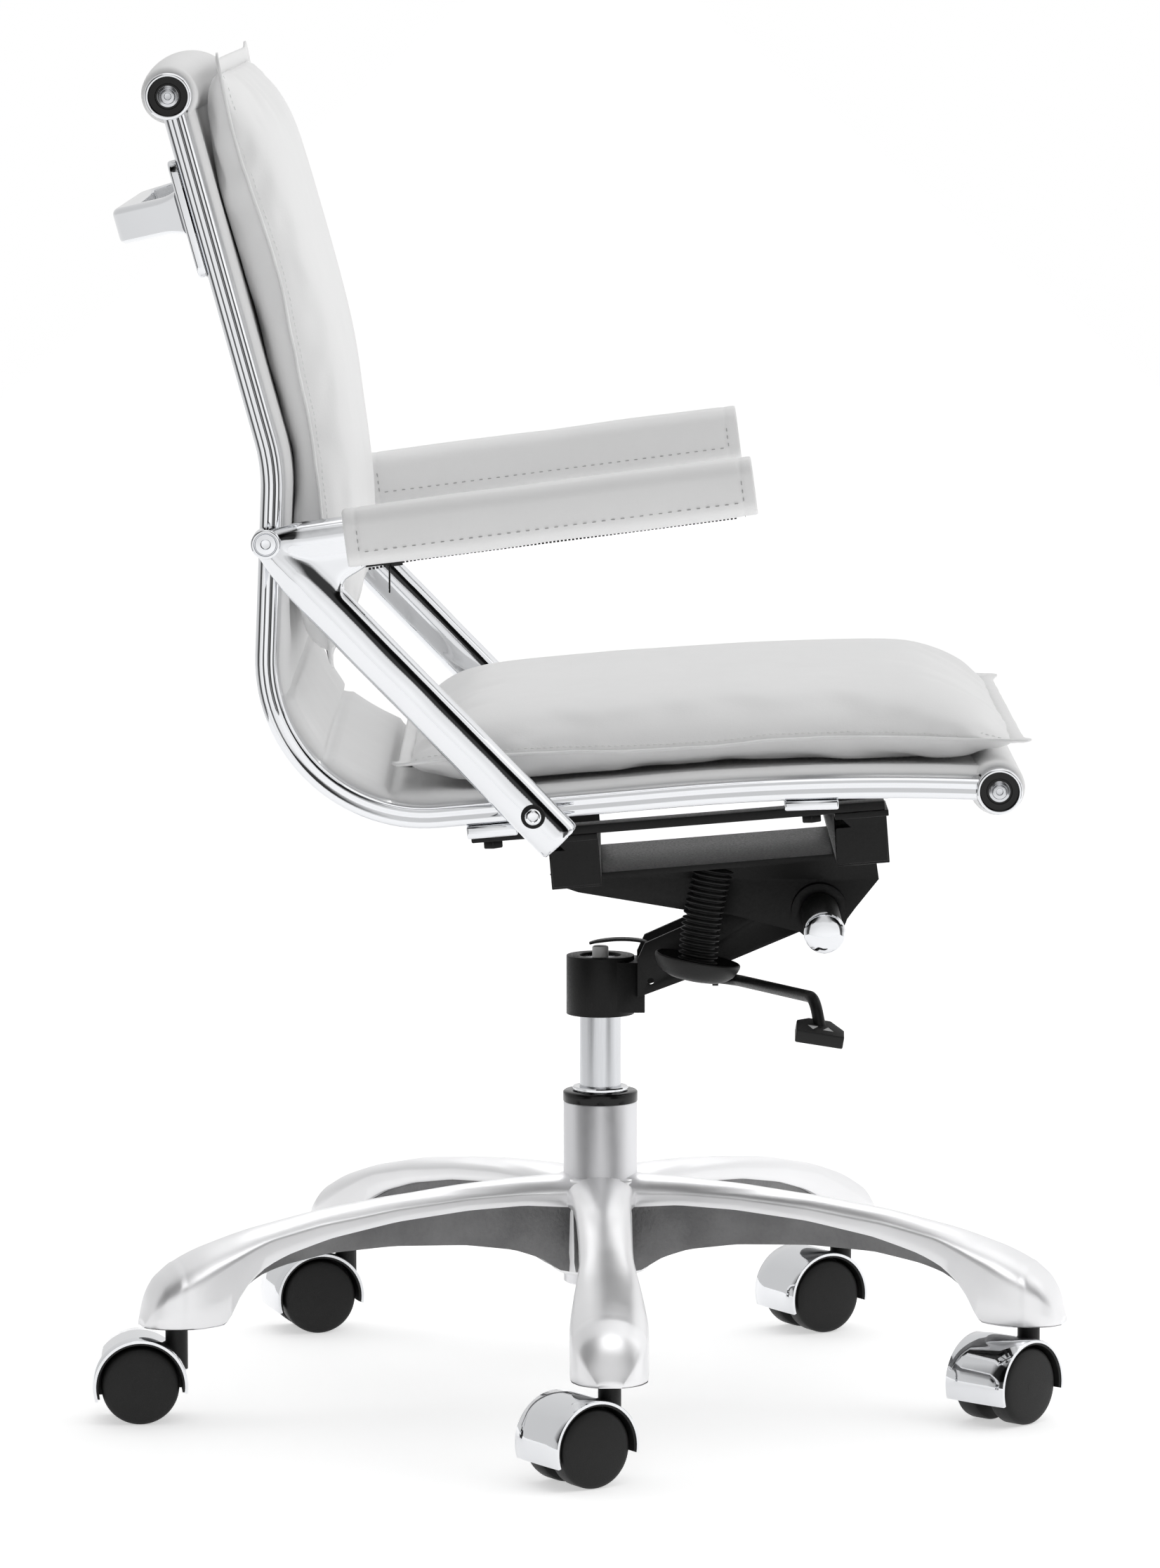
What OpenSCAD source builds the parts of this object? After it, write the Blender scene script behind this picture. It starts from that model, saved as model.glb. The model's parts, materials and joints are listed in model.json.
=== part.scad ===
// Swivel office chair with a soft-pad sling, chrome side rails and a five-star base on twin casters.
// Millimetres. +Z up, front is -Y, the sitter's right is -X. Origin: column axis, at floor level.

/* [Frame] */
// Distance from the chair's middle to each side rail's centre
rail_x = 232; // [200:1:260]
// Thickness of a side rail across the chair
rail_w = 12; // [8:0.5:16]
// Depth of a side rail seen from the side
rail_d = 14; // [10:0.5:18]
// Lean of the back from vertical, degrees
back_lean = 15.4; // [8:0.1:22]
// Height of the top tube's centre above the floor
top_z = 886; // [850:1:950]
// Distance of the top tube's centre behind the column
top_y = 277; // [250:1:300]

/* [Cushions] */
// Half width of the two pads
pad_half = 214; // [180:1:220]
// Thickness of the sling leather
sling_t = 8; // [4:0.5:10]

/* [Arms] */
// Distance from the chair's middle to each arm's centre
arm_x = 252; // [245:1:270]
// Width of the slanted strut seen from the side
strut_w = 30; // [22:1:36]
// Thickness of an arm casting across the chair
arm_t = 22; // [16:1:26]
// Length of an arm sleeve
sleeve_len = 264; // [200:1:300]
// Width of an arm sleeve across the chair
sleeve_w = 46; // [36:1:56]
// Height of an arm sleeve
sleeve_h = 37; // [30:1:44]

/* [Column] */
// Diameter of the gas spring's stem
stem_d = 28; // [25:1:30]
// Diameter of the outer tube
tube_d = 50; // [45:1:55]
// Height of the outer tube's top edge
tube_top = 200; // [180:1:220]

/* [Base] */
// Radius of the circle the five casters stand on
caster_r = 300; // [260:1:330]
// Direction of the first leg, degrees
leg_phase = 181; // [0:1:359]
// Diameter of a caster wheel
wheel_d = 52; // [45:1:60]
// Distance of the wheel axle behind the caster's stem
trail = 25; // [15:1:30]

/* [Hidden] */

fine = 64;
chrome = [0.82, 0.83, 0.85];
alu = [0.78, 0.79, 0.80];
black = [0.08, 0.08, 0.09];
white = [0.93, 0.93, 0.92];
steel = [0.7, 0.7, 0.72];

// ---------- path helper: straight runs and arcs in the XY plane ----------
// Each step is [length, 0] for a straight run or [radius, turn] for an arc.
function next_pose(p, s) = s[1] == 0
    ? [p[0] + s[0] * cos(p[2]), p[1] + s[0] * sin(p[2]), p[2]]
    : [p[0] + sign(s[1]) * s[0] * (sin(p[2] + s[1]) - sin(p[2])),
       p[1] - sign(s[1]) * s[0] * (cos(p[2] + s[1]) - cos(p[2])), p[2] + s[1]];
function pose_at(p, steps, n) = n == 0 ? p : next_pose(pose_at(p, steps, n - 1), steps[n - 1]);

// Poses along the steps: one every four degrees of an arc, and closer on a wide one.
function arc_parts(s) = max(1, ceil(abs(s[1]) / 4), ceil(abs(s[1]) * s[0] / 1500));
function part_turn(p, s, k, n) = k == 0 ? p : next_pose(p, [s[0], s[1] * k / n]);
function stations(p, steps) = concat(
    [for (i = [0 : len(steps) - 1])
        let (n = arc_parts(steps[i]))
        for (k = [0 : n - 1])
            part_turn(pose_at(p, steps, i), steps[i], k, n)],
    [pose_at(p, steps, len(steps))]);
function beside(st, off) = [for (p = st) [p[0] - off * sin(p[2]), p[1] + off * cos(p[2])]];
function backwards(list) = [for (i = [len(list) - 1 : -1 : 0]) list[i]];
// Outline of a band that runs along the steps between two offsets to the left of it.
function band(p, steps, a, b) = concat(beside(stations(p, steps), a), backwards(beside(stations(p, steps), b)));

module rounded_rect(w, h, r) {
    square([w - 2 * r, h], center = true);
    square([w, h - 2 * r], center = true);
    for (sx = [-1, 1], sy = [-1, 1])
        translate([sx * (w / 2 - r), sy * (h / 2 - r)])
            circle(r, $fn = fine);
}

module x_rod(r, x0, x1, y, z) {
    translate([x0, y, z])
        rotate([0, 90, 0])
            cylinder(h = x1 - x0, r = r, $fn = fine);
}

// The same rod on the right (s = -1) or the left (s = 1), from a to b away from the middle
module side_rod(s, r, a, b, y, z) {
    x_rod(r, s > 0 ? a : -b, s > 0 ? b : -a, y, z);
}

module x_plate(x0, x1, pts) {
    translate([x0, 0, 0])
        rotate([90, 0, 90])
            linear_extrude(x1 - x0)
                polygon(pts);
}

// ---------- side rails ----------
upper_run = 229.2;
bend_r = 110;
bend_a = 17.6;
waist_run = 104.7;
curve_r = 102;
curve_a = 97.2;
seat_run = 150;
front_r = 1627;
front_a = 7.5;
rail_start = [top_y, top_z, 270 - back_lean];
rail_steps = [[upper_run, 0], [bend_r, bend_a], [waist_run, 0], [curve_r, -curve_a],
    [seat_run, 0], [front_r, front_a]];
rail_end = pose_at(rail_start, rail_steps, len(rail_steps));
front_y = rail_end[0];
front_z = rail_end[1];
tube_ends = [[top_y, top_z], [front_y, front_z]];
eye_r = 15;

module rail_band(x, w, a, b) {
    x_plate(x - w / 2, x + w / 2, band(rail_start, rail_steps, a, b));
}

module rail(side) {
    x = side * rail_x;
    groove = 1.2;
    edge = 1.6;
    color(chrome) {
        difference() {
            union() {
                rail_band(x, rail_w - 0.4, edge - rail_d / 2, rail_d / 2 - edge);
                rail_band(x, rail_w - 4, -rail_d / 2, rail_d / 2);
            }
            // groove between the two beads of the outer face
            rail_band(side * (rail_out + groove), 4 * groove, -groove, groove);
        }
        for (e = tube_ends)
            x_rod(eye_r, x - rail_w / 2, x + rail_w / 2, e[0], e[1]);
    }
}

module rail_right() {
    rail(-1);
}

module rail_left() {
    rail(1);
}

// ---------- cross tubes and their end caps ----------
tube_r = 13;
rail_in = rail_x - rail_w / 2;
rail_out = rail_x + rail_w / 2;

module cross_tubes() {
    color(chrome)
        for (e = tube_ends)
            x_rod(tube_r, -rail_in, rail_in, e[0], e[1]);
}

module ends(r, x0, x1) {
    for (e = tube_ends, s = [-1, 1])
        side_rod(s, r, x0, x1, e[0], e[1]);
}

// fit between two parts that touch
slack = 0.05;
insert_r = 12.2;
screw_r = 6.8;
screw_head_r = 5;
screw_socket_r = 2.2;
ring_x = rail_out + 7;
insert_x = rail_out + 4;
screw_x = rail_out + 6.5;

module end_rings() {
    color(chrome)
        difference() {
            ends(eye_r, rail_out, ring_x);
            ends(insert_r, rail_out - 1, ring_x + 1);
        }
}

module end_inserts() {
    color(black)
        ends(insert_r, rail_out, insert_x);
}

module end_screws() {
    color(steel)
        difference() {
            union() {
                ends(screw_r, insert_x, insert_x + 1.2);
                ends(screw_head_r, insert_x + 1.2, screw_x);
            }
            ends(screw_socket_r, screw_x - 1.4, screw_x + 1);
        }
}

// ---------- sling ----------
sling_half = rail_in - 0.3;
sling_off = -8;
wrap_r = 18.5;
roll_r = 5;

module sling_strip() {
    rail_band(0, 2 * sling_half, sling_off - sling_t / 2, sling_off + sling_t / 2);
}

module sling_rolls() {
    for (s = [-1, 1])
        rail_band(s * (sling_half - roll_r - 0.2), 2 * roll_r, sling_off - roll_r - 3, sling_off + roll_r - 3.5);
}

module sling() {
    color(white)
        difference() {
            union() {
                sling_strip();
                sling_rolls();
                for (e = tube_ends)
                    x_rod(wrap_r, -sling_half, sling_half, e[0], e[1]);
            }
            for (e = tube_ends)
                x_rod(tube_r + 0.3, -rail_in, rail_in, e[0], e[1]);
        }
}

// ---------- pads ----------
back_edge = [[257, 893], [249, 910], [243, 895], [232, 848], [221, 812], [208, 773], [195, 712], [186, 677],
    [178, 614], [176, 542], [176, 520], [190, 520], [196.5, 540], [196.8, 600], [197.5, 655],
    [204.5, 679], [228, 773], [243, 828]];
back_crown = [[243, 880], [219, 888], [200, 824], [173, 726], [165, 670], [158, 627], [158, 570], [163, 535],
    [174, 526], [190, 526], [196, 545], [196.5, 655], [203, 679], [225, 770]];
seat_edge = [[-275, 468], [-262, 461], [-223, 456.5], [-105, 455], [0, 447], [86, 440], [108, 440.5], [131, 447],
    [133, 452], [86, 463], [0, 470], [-105, 475], [-223, 478], [-268, 474]];
seat_crown = [[-262, 465], [-223, 457.5], [-105, 456], [0, 448], [86, 441], [110, 443], [112, 466], [86, 480],
    [0, 491], [-105, 498], [-190, 500], [-228, 497], [-247, 488], [-260, 474]];

// distance from a pad's sewn rim to where its crown starts
pad_inset = 22;

module pad(edge, crown) {
    color(white) {
        x_plate(-pad_half, pad_half, edge);
        x_plate(pad_inset - pad_half, pad_half - pad_inset, crown);
    }
}

module back_pad() {
    pad(back_edge, back_crown);
}

module seat_pad() {
    pad(seat_edge, seat_crown);
}

// ---------- rear handle, drawn in the leaning frame of the back ----------
bow_h = 24;
bow_t = 12;
bow_mid = -74;
plate_top = -40;
plate_bottom = -118;
plate_t = 5.5;
plate_w = 18;
bow_y0 = 9;
bow_y1 = 55;
bow_corner_r = 20;
bow_turn = 30;
bow_x0 = rail_x - 4;
bow_corner_x = bow_x0 - (bow_y1 - bow_y0 - bow_corner_r * (1 - cos(bow_turn))) / tan(bow_turn)
    - bow_corner_r * sin(bow_turn);
bow_arm = (bow_y1 - bow_y0 - bow_corner_r * (1 - cos(bow_turn))) / sin(bow_turn);

module in_back_frame() {
    translate([0, top_y, top_z])
        rotate([-back_lean, 0, 0])
            children();
}

module back_handle() {
    color(chrome)
        in_back_frame() {
            translate([0, 0, bow_mid - bow_h / 2])
                linear_extrude(bow_h)
                    intersection() {
                        polygon(band([-bow_x0, bow_y0, bow_turn],
                            [[bow_arm, 0], [bow_corner_r, -bow_turn], [2 * bow_corner_x, 0],
                             [bow_corner_r, -bow_turn], [bow_arm, 0]], -bow_t / 2, bow_t / 2));
                        translate([-rail_out - 20, rail_d / 2 + 0.8])
                            square([2 * rail_out + 40, 100]);
                    }
            for (s = [-1, 1])
                translate([s * (rail_x - 1), rail_d / 2 + 0.05, 0])
                    rotate([-90, 0, 0])
                        translate([0, -(plate_top + plate_bottom) / 2, 0])
                            linear_extrude(plate_t)
                                rounded_rect(plate_w, plate_top - plate_bottom, 8.5);
        }
}

// ---------- arms ----------
strut_a = 45.7;
strut_end = [25.75, 407];
strut_len = 256;
boss = [215, 600.6];
low_bolt = [44, 425.4];
boss_len = 21;
web_inset = 1.5;
bar_a = 7.4;
bar_y1 = -88;
bar_h = 24;
sleeve_back = [164, 604];
arm_in = rail_out + 0.2;
boss_r = 9.5;
upper_bolt_r = 3;
lower_bolt_r = 4;
lower_boss_r = 9;
lower_boss_len = 6;
// side views of the web and of the room for it in the sleeve
arm_web = [[224, 596], [218, 610], [200, 614], [160, 618], [150, 594], [165, 577], [190, 560]];
sleeve_web = [[224, 596], [218, 612], [200, 616], [158, 620], [146, 594], [160, 570], [190, 556]];
strut_corner = 8;
bar_corner = 7;
bar_start = boss[0] - 12;

module along_strut(extra) {
    translate([0, strut_end[0], strut_end[1]])
        rotate([strut_a - 90, 0, 0])
            linear_extrude(strut_len + extra)
                rounded_rect(arm_t + 0.6 * extra, strut_w + 0.6 * extra, strut_corner);
}

module along_bar(extra) {
    translate([0, bar_start, boss[1] + 0.5])
        rotate([90 - bar_a, 0, 0])
            linear_extrude(bar_start - bar_y1 + extra)
                rounded_rect(arm_t + 0.6 * extra, bar_h + 0.6 * extra, bar_corner);
}

module arm(side) {
    xc = side * arm_x;
    color(chrome)
        difference() {
            union() {
                translate([xc, 0, 0]) {
                    // slanted strut and the bar inside the sleeve
                    along_strut(0);
                    along_bar(0);
                }
                // web where the two meet
                x_plate(xc - arm_t / 2 + web_inset, xc + arm_t / 2 - web_inset, arm_web);
                // boss on the rail
                side_rod(side, boss_r, arm_in, arm_in + boss_len, boss[0], boss[1]);
                // pad behind the lower bolt
                side_rod(side, lower_boss_r, arm_in, arm_in + lower_boss_len, low_bolt[0], low_bolt[1]);
            }
            x_rod(upper_bolt_r + slack, xc - 30, xc + 30, boss[0], boss[1]);
            // flat that the upper bolt's head sits on
            side_rod(side, boss_r, arm_in + boss_len, arm_x + 30, boss[0], boss[1]);
            x_rod(lower_bolt_r + slack, xc - 30, xc + 30, low_bolt[0], low_bolt[1]);
        }
}

module arm_right() {
    arm(-1);
}

module arm_left() {
    arm(1);
}

module sleeve(side) {
    xc = side * arm_x;
    color(white)
        difference() {
            translate([xc, sleeve_back[0], sleeve_back[1]])
                rotate([90 - bar_a, 0, 0])
                    linear_extrude(sleeve_len)
                        rounded_rect(sleeve_w, sleeve_h, 11);
            // room for the casting, a little wider than it all round
            translate([xc, 0, 0]) {
                along_strut(1);
                along_bar(1);
            }
            x_plate(xc - arm_t / 2 - 0.3, xc + arm_t / 2 + 0.3, sleeve_web);
        }
}

module sleeve_right() {
    sleeve(-1);
}

module sleeve_left() {
    sleeve(1);
}

upper_head = arm_in + boss_len;
washer_x = arm_x + arm_t / 2;
socket_r = 2.6;
upper_head_r = 7;
upper_head_t = 4;
lower_head_r = 5.2;
lower_head_t = 3;
washer_r = 7.8;
washer_t = 2;

module arm_bolts() {
    color(chrome)
        for (s = [-1, 1]) {
            // upper bolt, from the rail out to the boss face
            side_rod(s, upper_bolt_r, rail_out, upper_head, boss[0], boss[1]);
            difference() {
                side_rod(s, upper_head_r, upper_head, upper_head + upper_head_t, boss[0], boss[1]);
                side_rod(s, socket_r, upper_head + 1.5, upper_head + 5, boss[0], boss[1]);
            }
            // lower bolt
            side_rod(s, lower_bolt_r, rail_out, washer_x + washer_t, low_bolt[0], low_bolt[1]);
            difference() {
                side_rod(s, lower_head_r, washer_x + washer_t, washer_x + washer_t + lower_head_t,
                    low_bolt[0], low_bolt[1]);
                side_rod(s, socket_r, washer_x + 3, washer_x + 6, low_bolt[0], low_bolt[1]);
            }
        }
}

module arm_washers() {
    color(black)
        difference() {
            for (s = [-1, 1])
                side_rod(s, washer_r, washer_x, washer_x + washer_t, low_bolt[0], low_bolt[1]);
            x_rod(lower_bolt_r, -arm_x - arm_t, arm_x + arm_t, low_bolt[0], low_bolt[1]);
        }
}

zip_off = sleeve_h / 2;
zip_w = 5;
zip_t = 1.5;
slider_w = 7;
slider_t = 2.4;
slider_len = 9;
slider_at = 24;

module zips() {
    color(black)
        for (s = [-1, 1])
            translate([s * arm_x, sleeve_back[0], sleeve_back[1]])
                rotate([90 - bar_a, 0, 0]) {
                    translate([0, -zip_off - zip_t / 2, slider_at + 6])
                        linear_extrude(sleeve_len - slider_at - 20)
                            square([zip_w, zip_t], center = true);
                    translate([0, -zip_off - slider_t / 2, slider_at])
                        linear_extrude(slider_len)
                            square([slider_w, slider_t], center = true);
                }
}

pull_y = 136;
pull_z = 587.6;
pull_len = 16;

module zip_pull(side) {
    color(black) {
        translate([side * arm_x - 1.8, pull_y - 1, pull_z - 3 - pull_len])
            cube([3.6, 2, pull_len]);
        x_rod(1.1, side * arm_x - 3.4, side * arm_x + 3.4, pull_y, pull_z - 2.6);
        translate([side * arm_x - 0.6, pull_y - 1, pull_z - 4])
            cube([1.2, 2, 2]);
    }
}

module zip_pull_right() {
    zip_pull(-1);
}

module zip_pull_left() {
    zip_pull(1);
}

// ---------- seat mounting, drawn in the frame of the sloping bars ----------
bar_slope = 4.69;
bar_z = 410.9;
bar_back = 84.8;
bar_front = -185;
mbar_t = 6;
mbar_x0 = 186;
mbar_x1 = 206;
strap_t = 4;
strap_drop = 45;
strap_x = 152;
rear_strap = [3, 36];
front_strap = [-187, -152];
plate_bt = 4;
bracket_x = 42;
gusset_t = 7;
foot_bolts = [71, -137];
foot_bolt_x = 196;
foot_bolt_r = 7;
foot_bolt_h = 5;
strap_bolt_x = 56;
strap_bolt_r = 6.5;
strap_bolt_h = 4.5;

module in_mount_frame() {
    translate([0, 0, bar_z])
        rotate([-bar_slope, 0, 0])
            children();
}

module mount_bars() {
    color(black)
        in_mount_frame()
            for (s = [-1, 1])
                translate([s > 0 ? mbar_x0 : -mbar_x1, bar_front, -mbar_t / 2])
                    cube([mbar_x1 - mbar_x0, bar_back - bar_front, mbar_t]);
}

module strap_section() {
    t = strap_t;
    polygon([[-mbar_x1, -3], [-strap_x, -3], [8 - strap_x, t - strap_drop], [strap_x - 8, t - strap_drop],
        [strap_x, -3], [mbar_x1, -3], [mbar_x1, -3 - t], [strap_x + 3.6, -3 - t],
        [strap_x - 4.6, -strap_drop], [4.6 - strap_x, -strap_drop], [-strap_x - 3.6, -3 - t],
        [-mbar_x1, -3 - t]]);
}

module cross_straps() {
    color(black)
        in_mount_frame()
            for (b = [rear_strap, front_strap]) {
                translate([0, b[1], 0])
                    rotate([90, 0, 0])
                        linear_extrude(b[1] - b[0])
                            strap_section();
                // gussets that close the ends of each strap
                for (s = [-1, 1])
                    translate([s > 0 ? strap_x + 1 - gusset_t : -strap_x - 1, b[0] + 1, -strap_drop + 2])
                        cube([gusset_t, b[1] - b[0] - 2, strap_drop - 6]);
            }
}

// Each foot lies under a straight stretch of the rail: place, slope, length, thickness
rear_foot = [71.5, 424.35, 5, 33, 8.2];
front_foot = [-135.5, 439.98, 1.8, 35, 6.2];

module rail_feet() {
    foot_in = mbar_x0 - 4;
    // from the rail's middle line to the face that lies under it
    foot_gap = rail_d / 2 + 0.3;
    color(chrome)
        for (s = [-1, 1], f = [rear_foot, front_foot])
            translate([s > 0 ? foot_in : -rail_out, f[0], f[1]])
                rotate([-f[2], 0, 0])
                    translate([0, -f[3] / 2, -foot_gap - f[4]])
                        cube([rail_out - foot_in, f[3], f[4]]);
}

module mount_bolts() {
    color(black) {
        in_mount_frame() {
            for (s = [-1, 1], y = foot_bolts)
                translate([s * foot_bolt_x, y, -mbar_t / 2 - foot_bolt_h])
                    cylinder(h = foot_bolt_h, r = foot_bolt_r, $fn = 6);
            for (s = [-1, 1], b = [rear_strap, front_strap])
                translate([s * strap_bolt_x, (b[0] + b[1]) / 2, -strap_drop - plate_bt - strap_bolt_h])
                    cylinder(h = strap_bolt_h, r = strap_bolt_r, $fn = 6);
        }
    }
}

// ---------- tilt mechanism ----------
pivot_y = -147;
pivot_z = 336;
pivot_r = 13;
pivot_half = 156;
collar_r = 19;
cheek_t = 4;
plate_half = 78;
plate_y = [-187, 37];
// underside of the bracket's top plate, as a height over the floor at y = 0
bracket_top = bar_z - strap_drop - plate_bt;
slope_up = tan(bar_slope);

function on_bracket(y, d) = [y, bracket_top - y * slope_up - d];

module tilt_bracket() {
    color(black)
        difference() {
            union() {
                in_mount_frame()
                    translate([-plate_half, plate_y[0], -strap_drop - plate_bt])
                        cube([2 * plate_half, plate_y[1] - plate_y[0], plate_bt]);
                for (s = [-1, 1])
                    x_plate(s > 0 ? bracket_x - cheek_t : -bracket_x, s > 0 ? bracket_x : cheek_t - bracket_x,
                        [on_bracket(34, -1), [27, 352], [15, 348], [-57, 336], [-87, 333], [-134, 321],
                         [-160, 322], [-171, 337], [-187, 357], on_bracket(-184, -1)]);
                for (s = [-1, 1])
                    side_rod(s, collar_r, bracket_x - cheek_t, bracket_x + 10, pivot_y, pivot_z);
            }
            x_rod(pivot_r + 0.06, -plate_half, plate_half, pivot_y, pivot_z);
        }
}

module pivot_tube() {
    color(black)
        difference() {
            x_rod(pivot_r, -pivot_half, pivot_half, pivot_y, pivot_z);
            x_rod(pivot_r - 3, -pivot_half - 1, pivot_half + 1, pivot_y, pivot_z);
        }
}

module pivot_caps() {
    color(chrome)
        for (s = [-1, 1]) {
            side_rod(s, pivot_r + 0.8, pivot_half, pivot_half + 5, pivot_y, pivot_z);
            side_rod(s, pivot_r - 3, pivot_half - 8, pivot_half, pivot_y, pivot_z);
        }
}

hub_r = 23;
hub_z0 = 260;
hub_z1 = 300;
cheek = [20, 24, 30];

module hub_cheek() {
    translate([-cheek[0], -cheek[2], hub_z0 + 3])
        cube([2 * cheek[0], cheek[1], hub_z1 - hub_z0 - 6]);
}

module column_hub() {
    color(black)
        difference() {
            union() {
                translate([0, 0, hub_z0])
                    cylinder(h = hub_z1 - hub_z0, r = hub_r, $fn = fine);
                // cheek that meets the arm
                hub_cheek();
            }
            translate([0, 0, hub_z0 - 1])
                cylinder(h = hub_z1 - hub_z0 + 2, r = stem_d / 2 + slack, $fn = fine);
        }
}

arm_plate_x = 24;
arm_side = [[-25, 274], [-57, 286], [-85, 298], [-137, 320], [-152, 330], [-147, 352], [-128, 351], [-95, 340],
    [-57, 323], [-30, 311], [-25, 300]];
side_hole = [-34, 285];
side_hole_r = 2.4;
boot_x = -58;
boot_top_y = -76;
boot_top_z = 366.3;
boot_lean = 10;
boot_len = 63;
boot_r = 12.6;

module in_boot_frame() {
    translate([boot_x, boot_top_y, boot_top_z])
        rotate([boot_lean, 0, 0])
            children();
}

module ear(grow) {
    in_boot_frame()
        translate([-6 - grow, -8 - grow, -boot_len + 6 - grow])
            cube([40 + 2 * grow, 16 + 2 * grow, 4 + 2 * grow]);
}

lug_back = -75.5;
lug_t = 4;
lug_r = 4;

module lever_lug() {
    x = lever_knee[0];
    z = lever_knee[2];
    translate([0, lug_back, 0])
        rotate([90, 0, 0])
            linear_extrude(lug_t) {
                translate([x, z])
                    circle(lug_r, $fn = 32);
                polygon([[x - lug_r, z], [x, z - lug_r], [-20.4, z + 2], [4 - arm_plate_x, z + 11],
                    [4 - arm_plate_x, z + 14], [-arm_plate_x, z + 14], [-arm_plate_x, z + 8]]);
            }
}

module lower_arm() {
    color(black)
        difference() {
            union() {
                for (s = [-1, 1])
                    x_plate(s > 0 ? arm_plate_x - 4 : -arm_plate_x,
                        s > 0 ? arm_plate_x : 4 - arm_plate_x, arm_side);
                // web along the underside
                x_plate(-arm_plate_x + 4, arm_plate_x - 4,
                    [[-76, 294.1], [-85, 298], [-137, 320], [-137, 324], [-85, 302], [-76, 298.1]]);
                x_rod(collar_r - 1, -arm_plate_x, arm_plate_x, pivot_y, pivot_z);
                // lug that the release lever's pin turns in
                lever_lug();
                // ear that carries the tension spring
                difference() {
                    ear(0);
                    translate([-arm_plate_x + 2, -200, 200])
                        cube([60, 200, 200]);
                }
            }
            x_rod(pivot_r, -100, 100, pivot_y, pivot_z);
            // bore for the lever's pin
            translate([lever_knee[0], lug_back + 1, lever_knee[2]])
                rotate([90, 0, 0])
                    cylinder(h = lug_t + 2, r = pin_r + slack, $fn = 32);
            // space for the hub
            translate([0, 0, hub_z0 - 1])
                cylinder(h = hub_z1 - hub_z0 + 2, r = hub_r, $fn = fine);
            hub_cheek();
            // hole in the arm's side plate
            translate([-arm_plate_x - 1, side_hole[0], side_hole[1]])
                rotate([0, 90, 0])
                    cylinder(h = 6, r = side_hole_r, $fn = 32);
        }
}

boot_rings = 15;
// room under the bracket's plate, which slopes against the boot
boot_gap = 2.4;

module spring_boot() {
    pitch = (boot_len - boot_gap) / boot_rings;
    color(black)
        difference() {
            in_boot_frame()
                translate([0, 0, -boot_len])
                    difference() {
                        union() {
                            cylinder(h = boot_len - boot_gap, r = boot_r - 1.2, $fn = fine);
                            for (i = [0 : boot_rings - 1])
                                translate([0, 0, (i + 0.2) * pitch])
                                    cylinder(h = pitch * 0.5, r = boot_r + 0.9, $fn = fine);
                        }
                        translate([0, 0, -1])
                            cylinder(h = boot_len + 2, r = boot_r - 3, $fn = fine);
                    }
            ear(0.2);
        }
}

knob_gap = 0.4;

module tension_knob() {
    color(black)
        in_boot_frame()
            translate([0, 0, -boot_len - knob_gap]) {
                // dished rim
                rotate_extrude($fn = 96)
                    polygon([[0, -3], [0, -13], [12, -13], [22, -10], [28, -3], [29, 1], [28, 2], [26.5, 1],
                        [21, -6], [13, -9], [9, -3]]);
                for (i = [0 : 5])
                    rotate([0, 0, i * 60 + 20])
                        translate([7, -1.5, -11])
                            cube([18, 3, 7]);
            }
}

// ---------- height release lever ----------
lever_start = [-4, -66, 286.5];
lever_knee = [-27, -92, 286.5];
lever_bend = [-200, -139, 299];
lever_tip = [-203, -143, 279];
lever_r = 3.9;
knuckle_r = 5.2;
knuckle_half = 5.5;
pin_r = 2;
pin_back = -74.5;

module rod_between(a, b, r) {
    d = b - a;
    n = norm(d);
    translate(a)
        rotate([0, acos(d[2] / n), atan2(d[1], d[0])])
            cylinder(h = n, r = r, $fn = 32);
}

module lever_inner() {
    rod_between(lever_start, lever_knee, lever_r);
}

module lever_rod() {
    color(black) {
        lever_inner();
        // knuckle that the pin stands in
        translate([lever_knee[0], lever_knee[1] + knuckle_half, lever_knee[2]])
            rotate([90, 0, 0])
                cylinder(h = 2 * knuckle_half, r = knuckle_r, $fn = 48);
        translate(lever_bend)
            sphere(lever_r + 0.3, $fn = 32);
        rod_between(lever_knee, lever_bend, lever_r);
        rod_between(lever_bend, lever_tip, lever_r);
        // pin that the lever turns on
        translate([lever_knee[0], pin_back, lever_knee[2]])
            rotate([90, 0, 0])
                cylinder(h = pin_back - lever_knee[1], r = pin_r, $fn = 32);
    }
}

// Middle of the paddle, how far its near side drops to the front and to the outside
paddle_at = [-207, -142.3, 277];
paddle_roll = 9;
paddle_droop = 10;
paddle_t = 8.5;

module lever_paddle() {
    color(black)
        difference() {
            translate(paddle_at)
                rotate([paddle_roll, -paddle_droop, 0])
                    translate([0, 0, -paddle_t / 2])
                        linear_extrude(paddle_t)
                            polygon([[-15, -15.7], [-1, -15.7], [15, -7], [15, 8], [7, 15.7], [-15, 15.7]]);
            rod_between(lever_bend, lever_tip, lever_r);
        }
}

tongue_z = 306.8;
tongue_t = 1.6;
tongue_foot = 285;
tongue_half = 6;

module release_tongue() {
    color(black)
        difference() {
            union() {
                translate([-tongue_half, -36, tongue_z])
                    cube([2 * tongue_half, 44, tongue_t]);
                translate([-tongue_half, -37.5, tongue_foot])
                    cube([2 * tongue_half, 3, tongue_z + tongue_t - tongue_foot]);
                translate([-12, -70, tongue_foot])
                    cube([18, 35.5, 3]);
            }
            lever_inner();
        }
}

// ---------- column ----------
collar_h = 9.5;
tube_bottom = 76;
tube_wall = 4;
bush_len = 45;
bush_r = 17;
piston_z0 = 130;
piston_z1 = 298.5;
button_r = 5.5;
button_z0 = 288;
button_z1 = 306.2;
running_fit = 0.06;

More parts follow.
